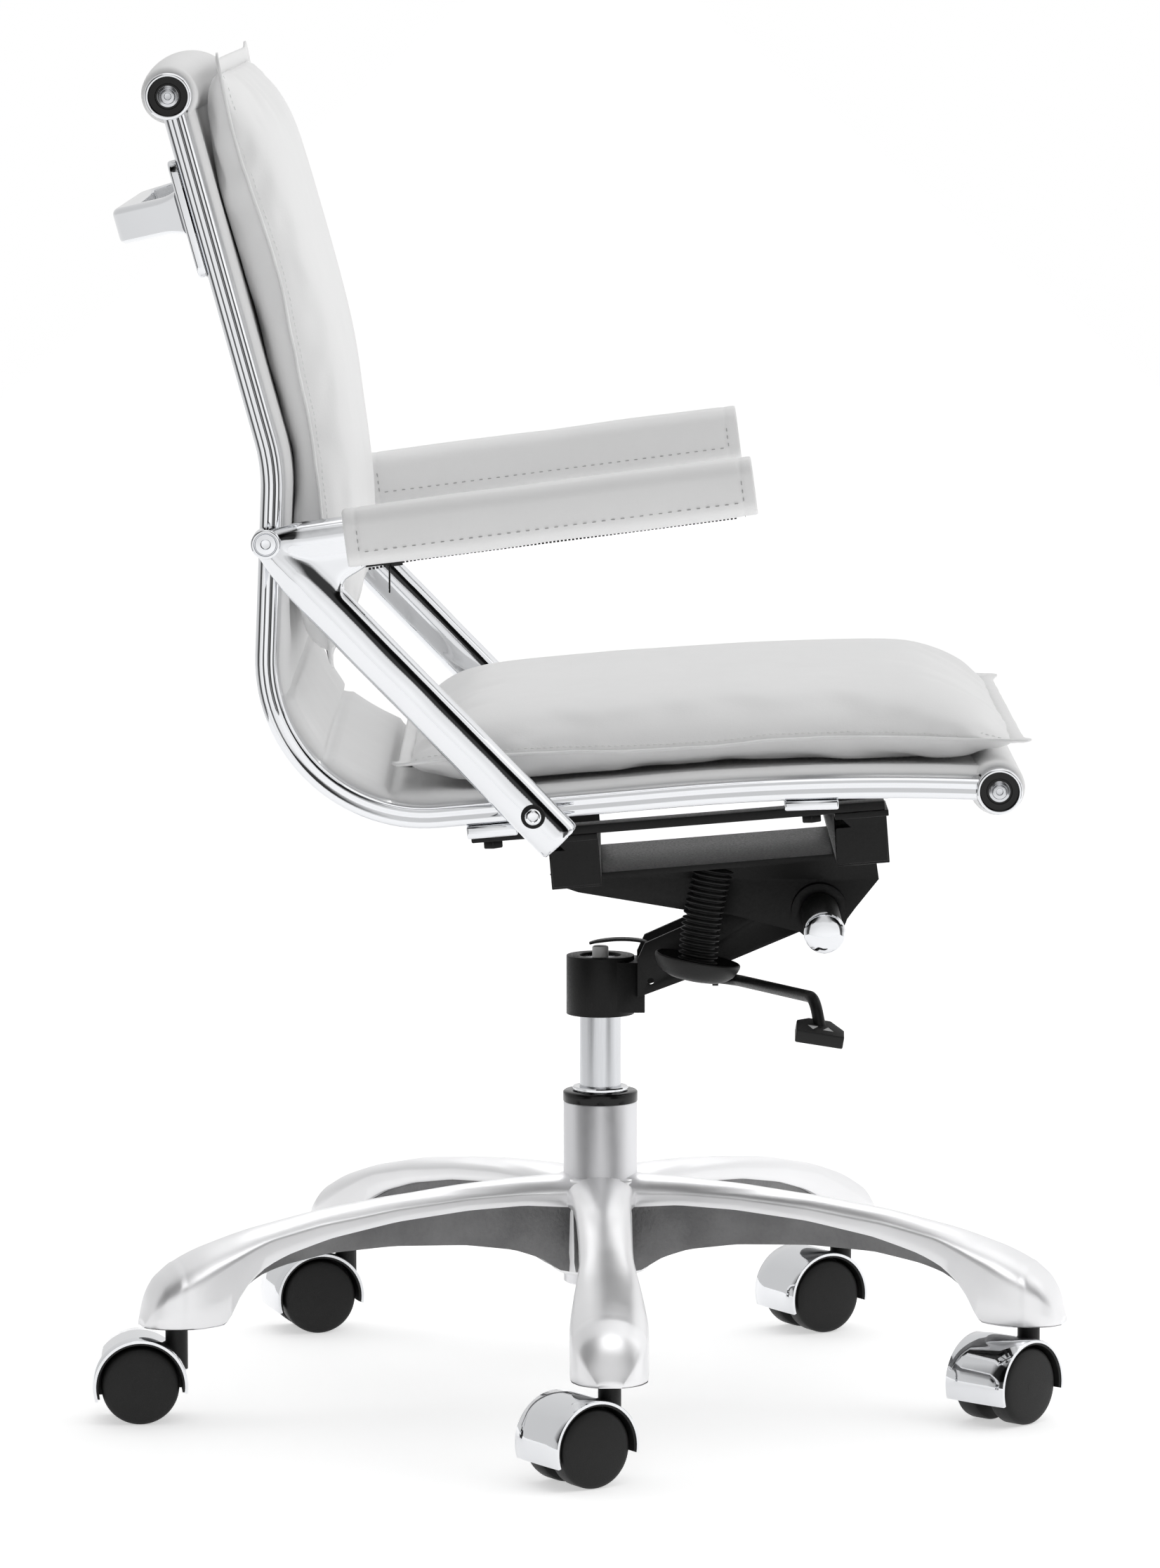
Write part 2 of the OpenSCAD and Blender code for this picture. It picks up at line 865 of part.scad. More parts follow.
module gas_piston() {
    color(steel)
        difference() {
            translate([0, 0, piston_z0])
                cylinder(h = piston_z1 - piston_z0, r = stem_d / 2, $fn = fine);
            translate([0, 0, button_z0 - 10])
                cylinder(h = 30, r = button_r + running_fit, $fn = fine);
        }
}

module release_button() {
    color(steel)
        translate([0, 0, button_z0])
            cylinder(h = button_z1 - button_z0, r = button_r, $fn = fine);
}

module column_outer_tube() {
    color(chrome)
        difference() {
            translate([0, 0, tube_bottom])
                cylinder(h = tube_top - tube_bottom, r = tube_d / 2, $fn = 96);
            translate([0, 0, tube_bottom + tube_wall])
                cylinder(h = tube_top - tube_bottom, r = tube_d / 2 - tube_wall, $fn = 96);
        }
}

module column_guide_bush() {
    color(chrome)
        difference() {
            union() {
                translate([0, 0, tube_top - bush_len])
                    cylinder(h = bush_len, r = tube_d / 2 - tube_wall, $fn = 96);
                translate([0, 0, tube_top + collar_h - 2])
                    cylinder(h = 3, r = bush_r + 2, $fn = 96);
                translate([0, 0, tube_top - 1])
                    cylinder(h = collar_h, r = bush_r, $fn = 96);
            }
            translate([0, 0, tube_top - bush_len - 5])
                cylinder(h = 80, r = stem_d / 2 + slack, $fn = 96);
        }
}

module column_collar() {
    color(black)
        difference() {
            translate([0, 0, tube_top])
                cylinder(h = collar_h - 2, r = tube_d / 2 + 0.4, $fn = 96);
            translate([0, 0, tube_top - 1])
                cylinder(h = collar_h + 2, r = bush_r + slack, $fn = 96);
        }
}

// ---------- base ----------
base_top = [[20, 148], [60, 147.6], [100, 146], [150, 142], [202, 135], [253, 124], [285, 114], [302, 106.5],
    [314, 97], [321, 85], [325, 64]];
lip_under = [[272, 64], [267, 78], [257, 92], [244, 102], [228, 109], [196, 118], [150, 127], [100, 132],
    [60, 133], [20, 127]];
web_top = [[20, 142], [100, 140], [150, 136], [202, 129], [253, 118], [285, 106]];
web_under = [[280, 80], [262, 92], [246, 98], [228, 103], [196, 108], [150, 110], [100, 108], [66, 103],
    [46, 96], [34, 87], [20, 86]];
hub_out = 33;
hub_bottom = 84;
hub_top = 149;
leg_half = [[0, 18], [36, 23], [60, 20], [100, 18.4], [160, 17.8], [210, 18.2], [240, 20.5], [262, 23.5],
    [290, 26], [308, 25], [319, 20], [331, 9]];
leg_plan = concat([for (p = leg_half) [p[0], -p[1]]], backwards(leg_half));
web_half = [[0, 17], [60, 14], [160, 12], [262, 15], [285, 18]];
web_plan = concat([for (p = web_half) [p[0], -p[1]]], backwards(web_half));
leg_count = 5;
leg_z0 = 50;
leg_room = 110;
stem_hole_top = 94;

module leg_side(top, under) {
    rotate([90, 0, 0])
        translate([0, 0, -40])
            linear_extrude(80)
                polygon(concat(top, under));
}

module leg() {
    intersection() {
        leg_side(base_top, lip_under);
        translate([0, 0, leg_z0])
            linear_extrude(leg_room)
                polygon(leg_plan);
    }
    intersection() {
        leg_side(web_top, web_under);
        translate([0, 0, leg_z0])
            linear_extrude(leg_room)
                polygon(web_plan);
    }
}

module base_star() {
    color(alu)
        difference() {
            union() {
                for (i = [0 : leg_count - 1])
                    rotate([0, 0, leg_phase + 72 * i])
                        leg();
                translate([0, 0, hub_bottom])
                    cylinder(h = hub_top - hub_bottom, r = hub_out, $fn = 96);
            }
            translate([0, 0, hub_bottom - 10])
                cylinder(h = 80, r = tube_d / 2, $fn = 96);
            // holes that the caster stems turn in
            for (i = [0 : leg_count - 1])
                rotate([0, 0, leg_phase + 72 * i])
                    translate([caster_r, 0, stem_z0])
                        cylinder(h = stem_hole_top - stem_z0, r = stem_r + running_fit, $fn = fine);
        }
}

// ---------- casters ----------
axle_z = wheel_d / 2;
hood_r = 32;
hood_half = 25;
wheel_in = 6.6;
wheel_w = 17.6;
neck_r = 7.5;
neck_z0 = 34;
neck_z1 = 63.6;
hood_t = 2.2;
shell_t = 1.6;
spine_half = 6;
stem_r = 5.5;
stem_z0 = 60;
stem_z1 = 92;
axle_r = 4;
axle_half = 23;

module at_caster(i, yaw) {
    rotate([0, 0, leg_phase + 72 * i])
        translate([caster_r, 0, 0])
            rotate([0, 0, 90 + yaw - leg_phase - 72 * i])
                children();
}

// Profile of the arch over the wheels, from one lower edge to the other
module arch(r, half, back_drop, front_drop) {
    difference() {
        translate([trail, half, axle_z])
            rotate([90, 0, 0])
                cylinder(h = 2 * half, r = r, $fn = 96);
        translate([trail, -half - 1, -40])
            cube([60, 2 * half + 2, 40 + axle_z - back_drop]);
        translate([trail - 60, -half - 1, -40])
            cube([60.01, 2 * half + 2, 40 + axle_z - front_drop]);
    }
}

module neck_block() {
    translate([-neck_r, -neck_r, 30])
        cube([2 * neck_r, 2 * neck_r, 40]);
}

module caster_body(i, yaw) {
    color(black)
        at_caster(i, yaw) {
            difference() {
                union() {
                    // central web
                    arch(hood_r - hood_t, spine_half, 8, 4);
                    // inner shell under the chrome band
                    difference() {
                        arch(hood_r - hood_t, hood_half - 1, 8, 4);
                        arch(hood_r - hood_t - shell_t, hood_half + 2, 60, 60);
                    }
                    // neck
                    translate([0, 0, neck_z0])
                        cylinder(h = neck_z1 - neck_z0, r = neck_r, $fn = fine);
                    // stem
                    translate([0, 0, stem_z0])
                        cylinder(h = stem_z1 - stem_z0, r = stem_r, $fn = fine);
                }
                // chrome band is laid into this space
                difference() {
                    arch(hood_r + 0.1, hood_half + 1, 80, 80);
                    arch(hood_r - hood_t, hood_half + 2, 80, 80);
                    neck_block();
                }
                // neck does not reach into the wheels
                for (s = [-1, 1])
                    translate([trail, s > 0 ? spine_half : -spine_half - wheel_w - 1, axle_z])
                        rotate([-90, 0, 0])
                            cylinder(h = wheel_w + 1, r = wheel_d / 2 + 2, $fn = 96);
            }
            // axle
            translate([trail, axle_half, axle_z])
                rotate([90, 0, 0])
                    cylinder(h = 2 * axle_half, r = axle_r, $fn = fine);
        }
}

module caster_hood(i, yaw) {
    color(chrome)
        at_caster(i, yaw)
            difference() {
                arch(hood_r, hood_half, 10, 5);
                arch(hood_r - hood_t, hood_half + 2, 80, 80);
                translate([0, 0, 20])
                    cylinder(h = 60, r = neck_r, $fn = fine);
                neck_block();
            }
}

tread_r = wheel_d / 2;
wheel_bore = axle_r + running_fit;
face_boss_r = 7;

module caster_wheel(i, yaw, side) {
    color(black)
        at_caster(i, yaw)
            translate([trail, side * wheel_in, axle_z])
                rotate([side > 0 ? -90 : 90, 0, 0])
                    difference() {
                        rotate_extrude($fn = 96)
                            polygon([[wheel_bore, 0], [tread_r - 1, 0], [tread_r, 1], [tread_r, wheel_w - 3],
                                [tread_r - 1.5, wheel_w - 1], [tread_r - 5, wheel_w - 0.4],
                                [tread_r - 6, wheel_w], [wheel_bore, wheel_w]]);
                        // shallow ring in the outer face
                        translate([0, 0, wheel_w - 0.9])
                            difference() {
                                cylinder(h = 2, r = tread_r - 6.8, $fn = 96);
                                translate([0, 0, -1])
                                    cylinder(h = 4, r = face_boss_r, $fn = 96);
                            }
                    }
}

yaw_near = 33;
yaw_front_right = 47;
yaw_front_left = 31;
yaw_rear_left = 17;
yaw_rear_right = 5;

module caster_near_body() { caster_body(0, yaw_near); }
module caster_near_hood() { caster_hood(0, yaw_near); }
module caster_near_wheel_a() { caster_wheel(0, yaw_near, 1); }
module caster_near_wheel_b() { caster_wheel(0, yaw_near, -1); }
module caster_front_right_body() { caster_body(1, yaw_front_right); }
module caster_front_right_hood() { caster_hood(1, yaw_front_right); }
module caster_front_right_wheel_a() { caster_wheel(1, yaw_front_right, 1); }
module caster_front_right_wheel_b() { caster_wheel(1, yaw_front_right, -1); }
module caster_front_left_body() { caster_body(2, yaw_front_left); }
module caster_front_left_hood() { caster_hood(2, yaw_front_left); }
module caster_front_left_wheel_a() { caster_wheel(2, yaw_front_left, 1); }
module caster_front_left_wheel_b() { caster_wheel(2, yaw_front_left, -1); }
module caster_rear_left_body() { caster_body(3, yaw_rear_left); }
module caster_rear_left_hood() { caster_hood(3, yaw_rear_left); }
module caster_rear_left_wheel_a() { caster_wheel(3, yaw_rear_left, 1); }
module caster_rear_left_wheel_b() { caster_wheel(3, yaw_rear_left, -1); }
module caster_rear_right_body() { caster_body(4, yaw_rear_right); }
module caster_rear_right_hood() { caster_hood(4, yaw_rear_right); }
module caster_rear_right_wheel_a() { caster_wheel(4, yaw_rear_right, 1); }
module caster_rear_right_wheel_b() { caster_wheel(4, yaw_rear_right, -1); }

base_star();
column_outer_tube();
column_collar();
column_guide_bush();
gas_piston();
release_button();
column_hub();
lower_arm();
pivot_tube();
pivot_caps();
lever_rod();
lever_paddle();
release_tongue();
tension_knob();
spring_boot();
tilt_bracket();
mount_bars();
cross_straps();
rail_feet();
mount_bolts();
rail_right();
rail_left();
cross_tubes();
end_rings();
end_inserts();
end_screws();
sling();
back_pad();
seat_pad();
back_handle();
arm_right();
arm_left();
sleeve_right();
sleeve_left();
arm_bolts();
arm_washers();
zips();
zip_pull_right();
zip_pull_left();
caster_near_body();
caster_near_hood();
caster_near_wheel_a();
caster_near_wheel_b();
caster_front_right_body();
caster_front_right_hood();
caster_front_right_wheel_a();
caster_front_right_wheel_b();
caster_front_left_body();
caster_front_left_hood();
caster_front_left_wheel_a();
caster_front_left_wheel_b();
caster_rear_left_body();
caster_rear_left_hood();
caster_rear_left_wheel_a();
caster_rear_left_wheel_b();
caster_rear_right_body();
caster_rear_right_hood();
caster_rear_right_wheel_a();
caster_rear_right_wheel_b();
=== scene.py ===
"""Looks of the swivel office chair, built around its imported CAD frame. Metres, +Z up, front is -Y."""
import json
from math import asin, copysign, cos, exp, hypot, pi, radians, sin, sqrt

import bmesh
import bpy
from mathutils import Matrix, Vector, noise
from mathutils.bvhtree import BVHTree

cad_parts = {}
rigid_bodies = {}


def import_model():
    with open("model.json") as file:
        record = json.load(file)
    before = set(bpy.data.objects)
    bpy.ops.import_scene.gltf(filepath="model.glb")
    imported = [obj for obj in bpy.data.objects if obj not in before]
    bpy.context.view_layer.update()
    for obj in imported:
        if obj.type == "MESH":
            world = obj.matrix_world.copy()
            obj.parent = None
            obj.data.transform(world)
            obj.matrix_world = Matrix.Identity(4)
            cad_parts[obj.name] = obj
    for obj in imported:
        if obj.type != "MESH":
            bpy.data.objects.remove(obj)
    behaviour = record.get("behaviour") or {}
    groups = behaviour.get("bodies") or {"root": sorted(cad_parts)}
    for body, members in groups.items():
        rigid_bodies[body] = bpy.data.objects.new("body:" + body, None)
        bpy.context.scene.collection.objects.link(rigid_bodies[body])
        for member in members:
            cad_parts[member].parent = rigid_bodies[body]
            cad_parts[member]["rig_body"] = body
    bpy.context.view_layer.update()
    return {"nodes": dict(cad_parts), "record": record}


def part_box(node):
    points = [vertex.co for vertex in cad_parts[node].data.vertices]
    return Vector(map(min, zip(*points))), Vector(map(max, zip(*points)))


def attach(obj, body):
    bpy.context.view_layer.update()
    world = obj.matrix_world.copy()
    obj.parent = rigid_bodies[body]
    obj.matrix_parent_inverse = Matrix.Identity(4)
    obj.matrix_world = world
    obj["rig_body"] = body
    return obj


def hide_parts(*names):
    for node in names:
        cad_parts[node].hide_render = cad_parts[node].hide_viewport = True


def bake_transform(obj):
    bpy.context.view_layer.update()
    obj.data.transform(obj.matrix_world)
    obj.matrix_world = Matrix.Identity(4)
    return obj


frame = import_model()
MM = 0.001
NODES = frame["nodes"]
scene = bpy.context.scene

# ---------- camera, floor, light

CAMERA_DISTANCE = 5.2
CAMERA_HEIGHT = 1.009
CAMERA_Y = 0.0138
CAMERA_PITCH = 6.5
CAMERA_LENS = 177.6


def new_object(name, data):
    made = bpy.data.objects.new(name, data)
    scene.collection.objects.link(made)
    return made


def make_camera():
    data = bpy.data.cameras.new("camera")
    data.lens = CAMERA_LENS
    data.sensor_width = 36
    data.clip_end = 400
    camera = new_object("camera", data)
    camera.location = (-CAMERA_DISTANCE, CAMERA_Y, CAMERA_HEIGHT)
    camera.rotation_euler = (radians(90 - CAMERA_PITCH), 0, radians(-90))
    scene.camera = camera


def area_light(name, place, aim, size, power):
    data = bpy.data.lights.new(name, "AREA")
    data.size = size
    data.energy = power
    lamp = new_object(name, data)
    lamp.location = place
    lamp.rotation_euler = (Vector(aim) - Vector(place)).to_track_quat("-Z", "Y").to_euler()
    return lamp


def add_node(tree, kind, sockets, **settings):
    """A shader node. sockets maps its inputs to values, or to the outputs that feed them."""
    node = tree.nodes.new("ShaderNode" + kind)
    for key, value in settings.items():
        setattr(node, key, value)
    for key, value in sockets.items():
        if isinstance(value, bpy.types.NodeSocket):
            tree.links.new(value, node.inputs[key])
        else:
            node.inputs[key].default_value = value
    return node


def ramp(tree, source, *stops):
    """Grey levels at places along a 0 to 1 signal."""
    node = add_node(tree, "ValToRGB", {0: source})
    elements = node.color_ramp.elements
    while len(elements) < len(stops):
        elements.new(0.5)
    for element, (place, grey) in zip(elements, stops):
        element.position = place
        element.color = (grey, grey, grey, 1)
    return node.outputs[0]


def maths(tree, operation, *values):
    """A Math node whose inputs are outputs of other nodes, or numbers."""
    return add_node(tree, "Math", dict(enumerate(values)), operation=operation).outputs[0]


def map_range(tree, source, low, high, to_low, to_high):
    """Maps low to high onto to_low to to_high, held at both ends."""
    return add_node(tree, "MapRange", {"Value": source, "From Min": low, "From Max": high, "To Min": to_low,
                                       "To Max": to_high}).outputs[0]


def make_world():
    """A white studio: soft boxes either side of the camera, a dark gap over them, less light behind."""
    world = bpy.data.worlds.new("studio")
    scene.world = world
    world.use_nodes = True
    tree = world.node_tree
    tree.nodes.clear()
    way = add_node(tree, "TexCoord", {}).outputs["Generated"]
    x, y, z = add_node(tree, "SeparateXYZ", {0: way}).outputs
    cloud = add_node(tree, "TexNoise", {"Scale": 2.6, "Vector": way}).outputs["Fac"]
    wander = maths(tree, "MULTIPLY_ADD", cloud, 0.16, -0.08)
    turn = maths(tree, "ARCTAN2", y, maths(tree, "MULTIPLY", x, -1.0))
    turn = maths(tree, "ADD", maths(tree, "DIVIDE", maths(tree, "ABSOLUTE", turn), pi), wander)
    around = ramp(tree, turn, (0.0, 1.1), (0.14, 1.05), (0.18, 0.10), (0.28, 0.08), (0.31, 0.42), (0.36, 0.62),
                  (0.46, 1.0), (0.70, 1.0), (1.0, 0.9))
    height = maths(tree, "ADD", maths(tree, "MULTIPLY_ADD", z, 0.5, 0.5), wander)
    upward = ramp(tree, height, (0.0, 0.85), (0.55, 1.0), (0.58, 0.9), (0.61, 0.05), (0.86, 0.04), (0.90, 0.9),
                  (1.0, 1.1))
    front = map_range(tree, x, 0.05, -0.25, 0.0, 1.0)
    beside = map_range(tree, maths(tree, "ABSOLUTE", y), 0.10, 0.30, 0.25, 1.0)
    gap = add_node(tree, "Mix", {"Factor": maths(tree, "MULTIPLY", front, beside), "A": 1.0, "B": upward})
    level = maths(tree, "MULTIPLY", around, gap.outputs["Result"])
    level = maths(tree, "MULTIPLY", level, map_range(tree, z, 0.0, -0.14, 1.0, 1.22))
    lit = add_node(tree, "Background", {"Color": level, "Strength": map_range(tree, y, -0.7, 0.7, 1.05, 0.7)})
    seen = add_node(tree, "Background", {"Color": (1, 1, 1, 1)})
    camera_ray = add_node(tree, "LightPath", {}).outputs["Is Camera Ray"]
    mix = add_node(tree, "MixShader", {0: camera_ray, 1: lit.outputs[0], 2: seen.outputs[0]})
    add_node(tree, "OutputWorld", {"Surface": mix.outputs[0]})
    scene.view_settings.view_transform = "Standard"


def make_floor():
    """A pale strip under the chair, plain and a little lit from within, so that it stays near white."""
    mesh = bpy.data.meshes.new("floor")
    near, far, half = -1.9, 80, 1.2
    mesh.from_pydata([(near, -half, 0), (far, -half, 0), (far, half, 0), (near, half, 0)], [], [(0, 1, 2, 3)])
    white = {"Base Color": (0.88, 0.88, 0.88, 1), "Roughness": 0.7, "Specular IOR Level": 0.1,
             "Emission Color": (1, 1, 1, 1), "Emission Strength": 0.5}
    mesh.materials.append(new_material("floor_white", white)[0])
    new_object("floor", mesh)


# ---------- materials


def new_material(name, values):
    """A material whose one shader starts from these values. Returns it, its tree and the shader."""
    mat = bpy.data.materials.new(name)
    mat.use_nodes = True
    shader = mat.node_tree.nodes["Principled BSDF"]
    for socket, value in values.items():
        shader.inputs[socket].default_value = value
    return mat, mat.node_tree, shader


def object_noise(tree, scale, detail=2.0, roughness=0.5, stretch=(1, 1, 1)):
    """Noise in object space, so its grain has a real size."""
    coord = add_node(tree, "TexCoord", {}).outputs["Object"]
    mapping = add_node(tree, "Mapping", {"Scale": stretch, "Vector": coord})
    return add_node(tree, "TexNoise", {"Scale": scale, "Detail": detail, "Roughness": roughness,
                                       "Vector": mapping.outputs[0]}).outputs["Fac"]


def spread(tree, source, low, high):
    """Maps the middle of a noise signal onto low to high."""
    return map_range(tree, source, 0.3, 0.7, low, high)


def add_bump(tree, shader, height, strength, distance, **below):
    bump = add_node(tree, "Bump", {"Strength": strength, "Distance": distance, "Height": height, **below})
    tree.links.new(bump.outputs[0], shader.inputs["Normal"])
    return bump.outputs[0]


def tinted(tree, shader, source, dark, light):
    """Base colour that drifts between two close colours. A lone number is a grey."""
    dark, light = ((*(c if isinstance(c, tuple) else (c, c, c)), 1) for c in (dark, light))
    mix = add_node(tree, "Mix", {"A": dark, "B": light, "Factor": source}, data_type="RGBA")
    tree.links.new(mix.outputs["Result"], shader.inputs["Base Color"])


def worked(name, uniform, colours, cloud, rough, grain, bump):
    """A hard surface: drifting colour, and fine noise in its roughness and its bump."""
    mat, tree, shader = new_material(name, uniform)
    tinted(tree, shader, object_noise(tree, cloud, 4), *colours)
    fine = object_noise(tree, *grain)
    tree.links.new(spread(tree, fine, *rough), shader.inputs["Roughness"])
    add_bump(tree, shader, fine, *bump)
    return mat


def metal(name, dark, light, rough, grain, bump, stretch=(1, 1, 1), metallic=1.0, cloud=9):
    return worked(name, {"Metallic": metallic}, (dark, light), cloud, rough, (grain, 3, 0.6, stretch), bump)


def coated(name, dark, light, rough, grain, bump, specular=0.5):
    return worked(name, {"Specular IOR Level": specular}, (dark, light), 14, rough, (grain,), bump)


def leather(name, dark, light):
    """Smooth leatherette: fine pebble grain, soft pull lines and a little sheen."""
    mat, tree, shader = new_material(name, {"Sheen Weight": 0.08, "Sheen Roughness": 0.4})
    tinted(tree, shader, object_noise(tree, 7, 4, 0.6), dark, light)
    coord = add_node(tree, "TexCoord", {}).outputs["Object"]
    cells = add_node(tree, "TexVoronoi", {"Scale": 900, "Vector": coord}, feature="SMOOTH_F1")
    soft = object_noise(tree, 45, 5, 0.62)
    tree.links.new(spread(tree, soft, 0.36, 0.5), shader.inputs["Roughness"])
    waves = add_bump(tree, shader, soft, 0.16, 0.0016)
    add_bump(tree, shader, cells.outputs["Distance"], 0.22, 0.00025, Normal=waves)
    return mat


def make_materials():
    return {
        "leather": leather("white_leatherette", 0.84, 0.90),
        "white_thread": coated("white_thread", 0.84, 0.90, (0.6, 0.75), 2500, (0.3, 0.0002)),
        "thread": coated("grey_thread", 0.36, 0.46, (0.6, 0.75), 2500, (0.3, 0.0002)),
        "chrome": metal("polished_chrome", (0.74, 0.75, 0.77), (0.82, 0.83, 0.85), (0.035, 0.075), 220,
                        (0.04, 0.0002)),
        "polished": metal("polished_casting", (0.86, 0.86, 0.87), (0.92, 0.92, 0.93), (0.32, 0.38), 40,
                          (0.01, 0.0004), metallic=0.68),
        "satin": metal("satin_chrome", (0.84, 0.84, 0.86), (0.90, 0.90, 0.92), (0.32, 0.38), 220, (0.04, 0.0002),
                       metallic=0.72),
        "cast": metal("rough_casting", (0.07, 0.07, 0.072), (0.27, 0.27, 0.272), (0.36, 0.52), 420, (0.5, 0.0005),
                      cloud=22),
        "steel": metal("ground_steel", (0.55, 0.56, 0.58), (0.68, 0.69, 0.71), (0.16, 0.26), 500, (0.15, 0.0002),
                       stretch=(1, 1, 0.04)),
        "black_steel": coated("black_powder_coat", 0.003, 0.007, (0.34, 0.5), 700, (0.25, 0.0003), 0.22),
        "black_plastic": coated("black_moulded_plastic", 0.007, 0.014, (0.42, 0.58), 1600, (0.3, 0.0002), 0.3),
        "black_gloss": coated("black_gloss_plastic", 0.003, 0.006, (0.10, 0.2), 120, (0.05, 0.0002), 0.3),
        "grey_plastic": coated("pale_grey_plastic", 0.60, (0.68, 0.68, 0.67), (0.4, 0.5), 900, (0.2, 0.0002)),
        "mark": coated("pale_mark", 0.5, 0.6, (0.5, 0.6), 900, (0.1, 0.0001)),
    }


MATS = make_materials()

# ---------- mesh helpers

SIDES = {-1: "right", 1: "left"}
ORIGIN = Matrix.Identity(4)
SLOTS = {"chrome": "polished_chrome", "satin": "polished_chrome", "steel": "bright_steel",
         "polished": "polished_aluminium", "leather": "white_leather", "thread": "white_leather",
         "white_thread": "white_leather", "mark": "black_plastic"}


def link_mesh(name, bm, *looks):
    """Turns bm into a smooth-shaded object that wears these looks."""
    mesh = bpy.data.meshes.new(name)
    bmesh.ops.recalc_face_normals(bm, faces=bm.faces)
    for face in bm.faces:
        face.smooth = True
    bm.to_mesh(mesh)
    bm.free()
    for look in looks:
        mesh.materials.append(MATS[look])
    return new_object(name, mesh)


def placed(piece, body, slot, *nodes):
    """Rides piece on its body and lets it stand for the CAD nodes. Its slot is not used."""
    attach(piece, body)
    if nodes:
        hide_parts(*nodes)
    return piece


def crisp(piece, angle):
    """Smooth shading with sharp edges over the angle."""
    piece.data.set_sharp_from_angle(angle=radians(angle))
    return piece


def part(bm, name, look, angle, body, *nodes):
    """One finished piece, with sharp edges over the angle unless that is None."""
    piece = link_mesh(name, bm, look)
    if angle:
        crisp(piece, angle)
    return placed(piece, body, SLOTS.get(look, look), *nodes)


def loft(bm, rings, face_mat=None):
    """Skins closed rings of equal length and caps both ends. face_mat(side) gives a material number."""
    rows = [[bm.verts.new(p) for p in ring] for ring in rings]
    count = len(rows[0])
    for low, high in zip(rows, rows[1:]):
        for k in range(count):
            n = (k + 1) % count
            face = bm.faces.new((low[k], low[n], high[n], high[k]))
            if face_mat:
                face.material_index = face_mat(k)
    bm.faces.new(rows[0])
    bm.faces.new(list(reversed(rows[-1])))


def mm(*point):
    """A point given in millimetres."""
    return Vector(point) * MM


def circle(count):
    """Cosine and sine at even steps of a whole turn."""
    return [(cos(t), sin(t)) for t in (2 * pi * k / count for k in range(count))]


def lathe(bm, profile, place, turns=64):
    """Turns (radius, height) points, in millimetres, round place's Z axis. A radius of 0 is a pole."""
    rows = []
    for r, h in ((r * MM, h * MM) for r, h in profile):
        rows.append([bm.verts.new(place @ Vector((r * c, r * s, h))) for c, s in circle(turns if r else 1)])
    pairs = list(zip(rows, rows[1:]))
    if len(rows[0]) > 1:
        pairs.append((rows[-1], rows[0]))
    for a, b in pairs:
        for k in range(turns):
            n = (k + 1) % turns
            bm.faces.new(dict.fromkeys((a[k % len(a)], b[k % len(b)], b[n % len(b)], a[n % len(a)])))


def spin(degrees, axis):
    return Matrix.Rotation(radians(degrees), 4, axis)


def add_box(bm, low, high, place=ORIGIN):
    """A box between two corners, in millimetres."""
    v = [bm.verts.new(place @ mm(x, y, z)) for x in (low[0], high[0]) for y in (low[1], high[1])
         for z in (low[2], high[2])]
    for f in ((0, 1, 3, 2), (4, 6, 7, 5), (0, 4, 5, 1), (2, 3, 7, 6), (0, 2, 6, 4), (1, 5, 7, 3)):
        bm.faces.new([v[i] for i in f])


def add_plate(bm, outline, low, high, place):
    """A flat outline drawn out between two heights, in millimetres."""
    loft(bm, [[place @ mm(x, y, h) for x, y in outline] for h in (low, high)])


def outward(side, x, y, z):
    """A frame x out on that side, whose Z axis points further out."""
    return Matrix.Translation((side * x, y, z)) @ spin(90 * side, "Y")


def rounded_section(w, h, r, steps):
    """Closed rounded rectangle of points (a, b), centred on 0, 0."""
    points = []
    for k, (sa, sb) in enumerate(((1, 1), (-1, 1), (-1, -1), (1, -1))):
        for i in range(steps + 1):
            t = radians(90 * (k + i / steps))
            points.append((sa * (w / 2 - r) + r * cos(t), sb * (h / 2 - r) + r * sin(t)))
    return points


def apply_modifiers(piece):
    graph = bpy.context.evaluated_depsgraph_get()
    mesh = bpy.data.meshes.new_from_object(piece.evaluated_get(graph))
    piece.modifiers.clear()
    piece.data = mesh
    return piece


def bevelled(piece, width, segments, angle=32):
    """Rounds the edges over the angle, then shades what is left over 50 degrees sharp."""
    modifier = piece.modifiers.new("bevel", "BEVEL")
    modifier.width = width * MM
    modifier.segments = segments
    modifier.limit_method = "ANGLE"
    modifier.angle_limit = radians(angle)
    return crisp(apply_modifiers(piece), 50)


def refined(node, look, width):
    """A copy of a CAD node with softened edges, which stands for it."""
    bm = bmesh.new()
    bm.from_mesh(NODES[node].data)
    bmesh.ops.remove_doubles(bm, verts=bm.verts, dist=2e-6)
    bmesh.ops.dissolve_limit(bm, angle_limit=radians(1.5), verts=bm.verts, edges=bm.edges)
    piece = bevelled(link_mesh(node + "_soft", bm, look), width, 2, 30)
    slot = [s["material_slot"] for s in frame["record"]["subparts"] if s["node"] == node][0]
    placed(piece, NODES[node]["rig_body"], slot, node)


# ---------- side rails

BACK_LEAN = 15.4
TUBE_R = 13 * MM
tube_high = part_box("cross_tubes")[1]
TOP_Y = tube_high.y - TUBE_R
TOP_Z = tube_high.z - TUBE_R
RAIL_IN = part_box("rail_left")[0].x
RAIL_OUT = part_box("rail_left")[1].x
RAIL_X = (RAIL_IN + RAIL_OUT) / 2
RAIL_W = RAIL_OUT - RAIL_IN
RAIL_D = 14 * MM
RAIL_STEPS = (("run", 0.2292), ("arc", 0.110, 17.6), ("run", 0.1047), ("arc", 0.102, -97.2), ("run", 0.150),
              ("arc", 1.627, 7.5))


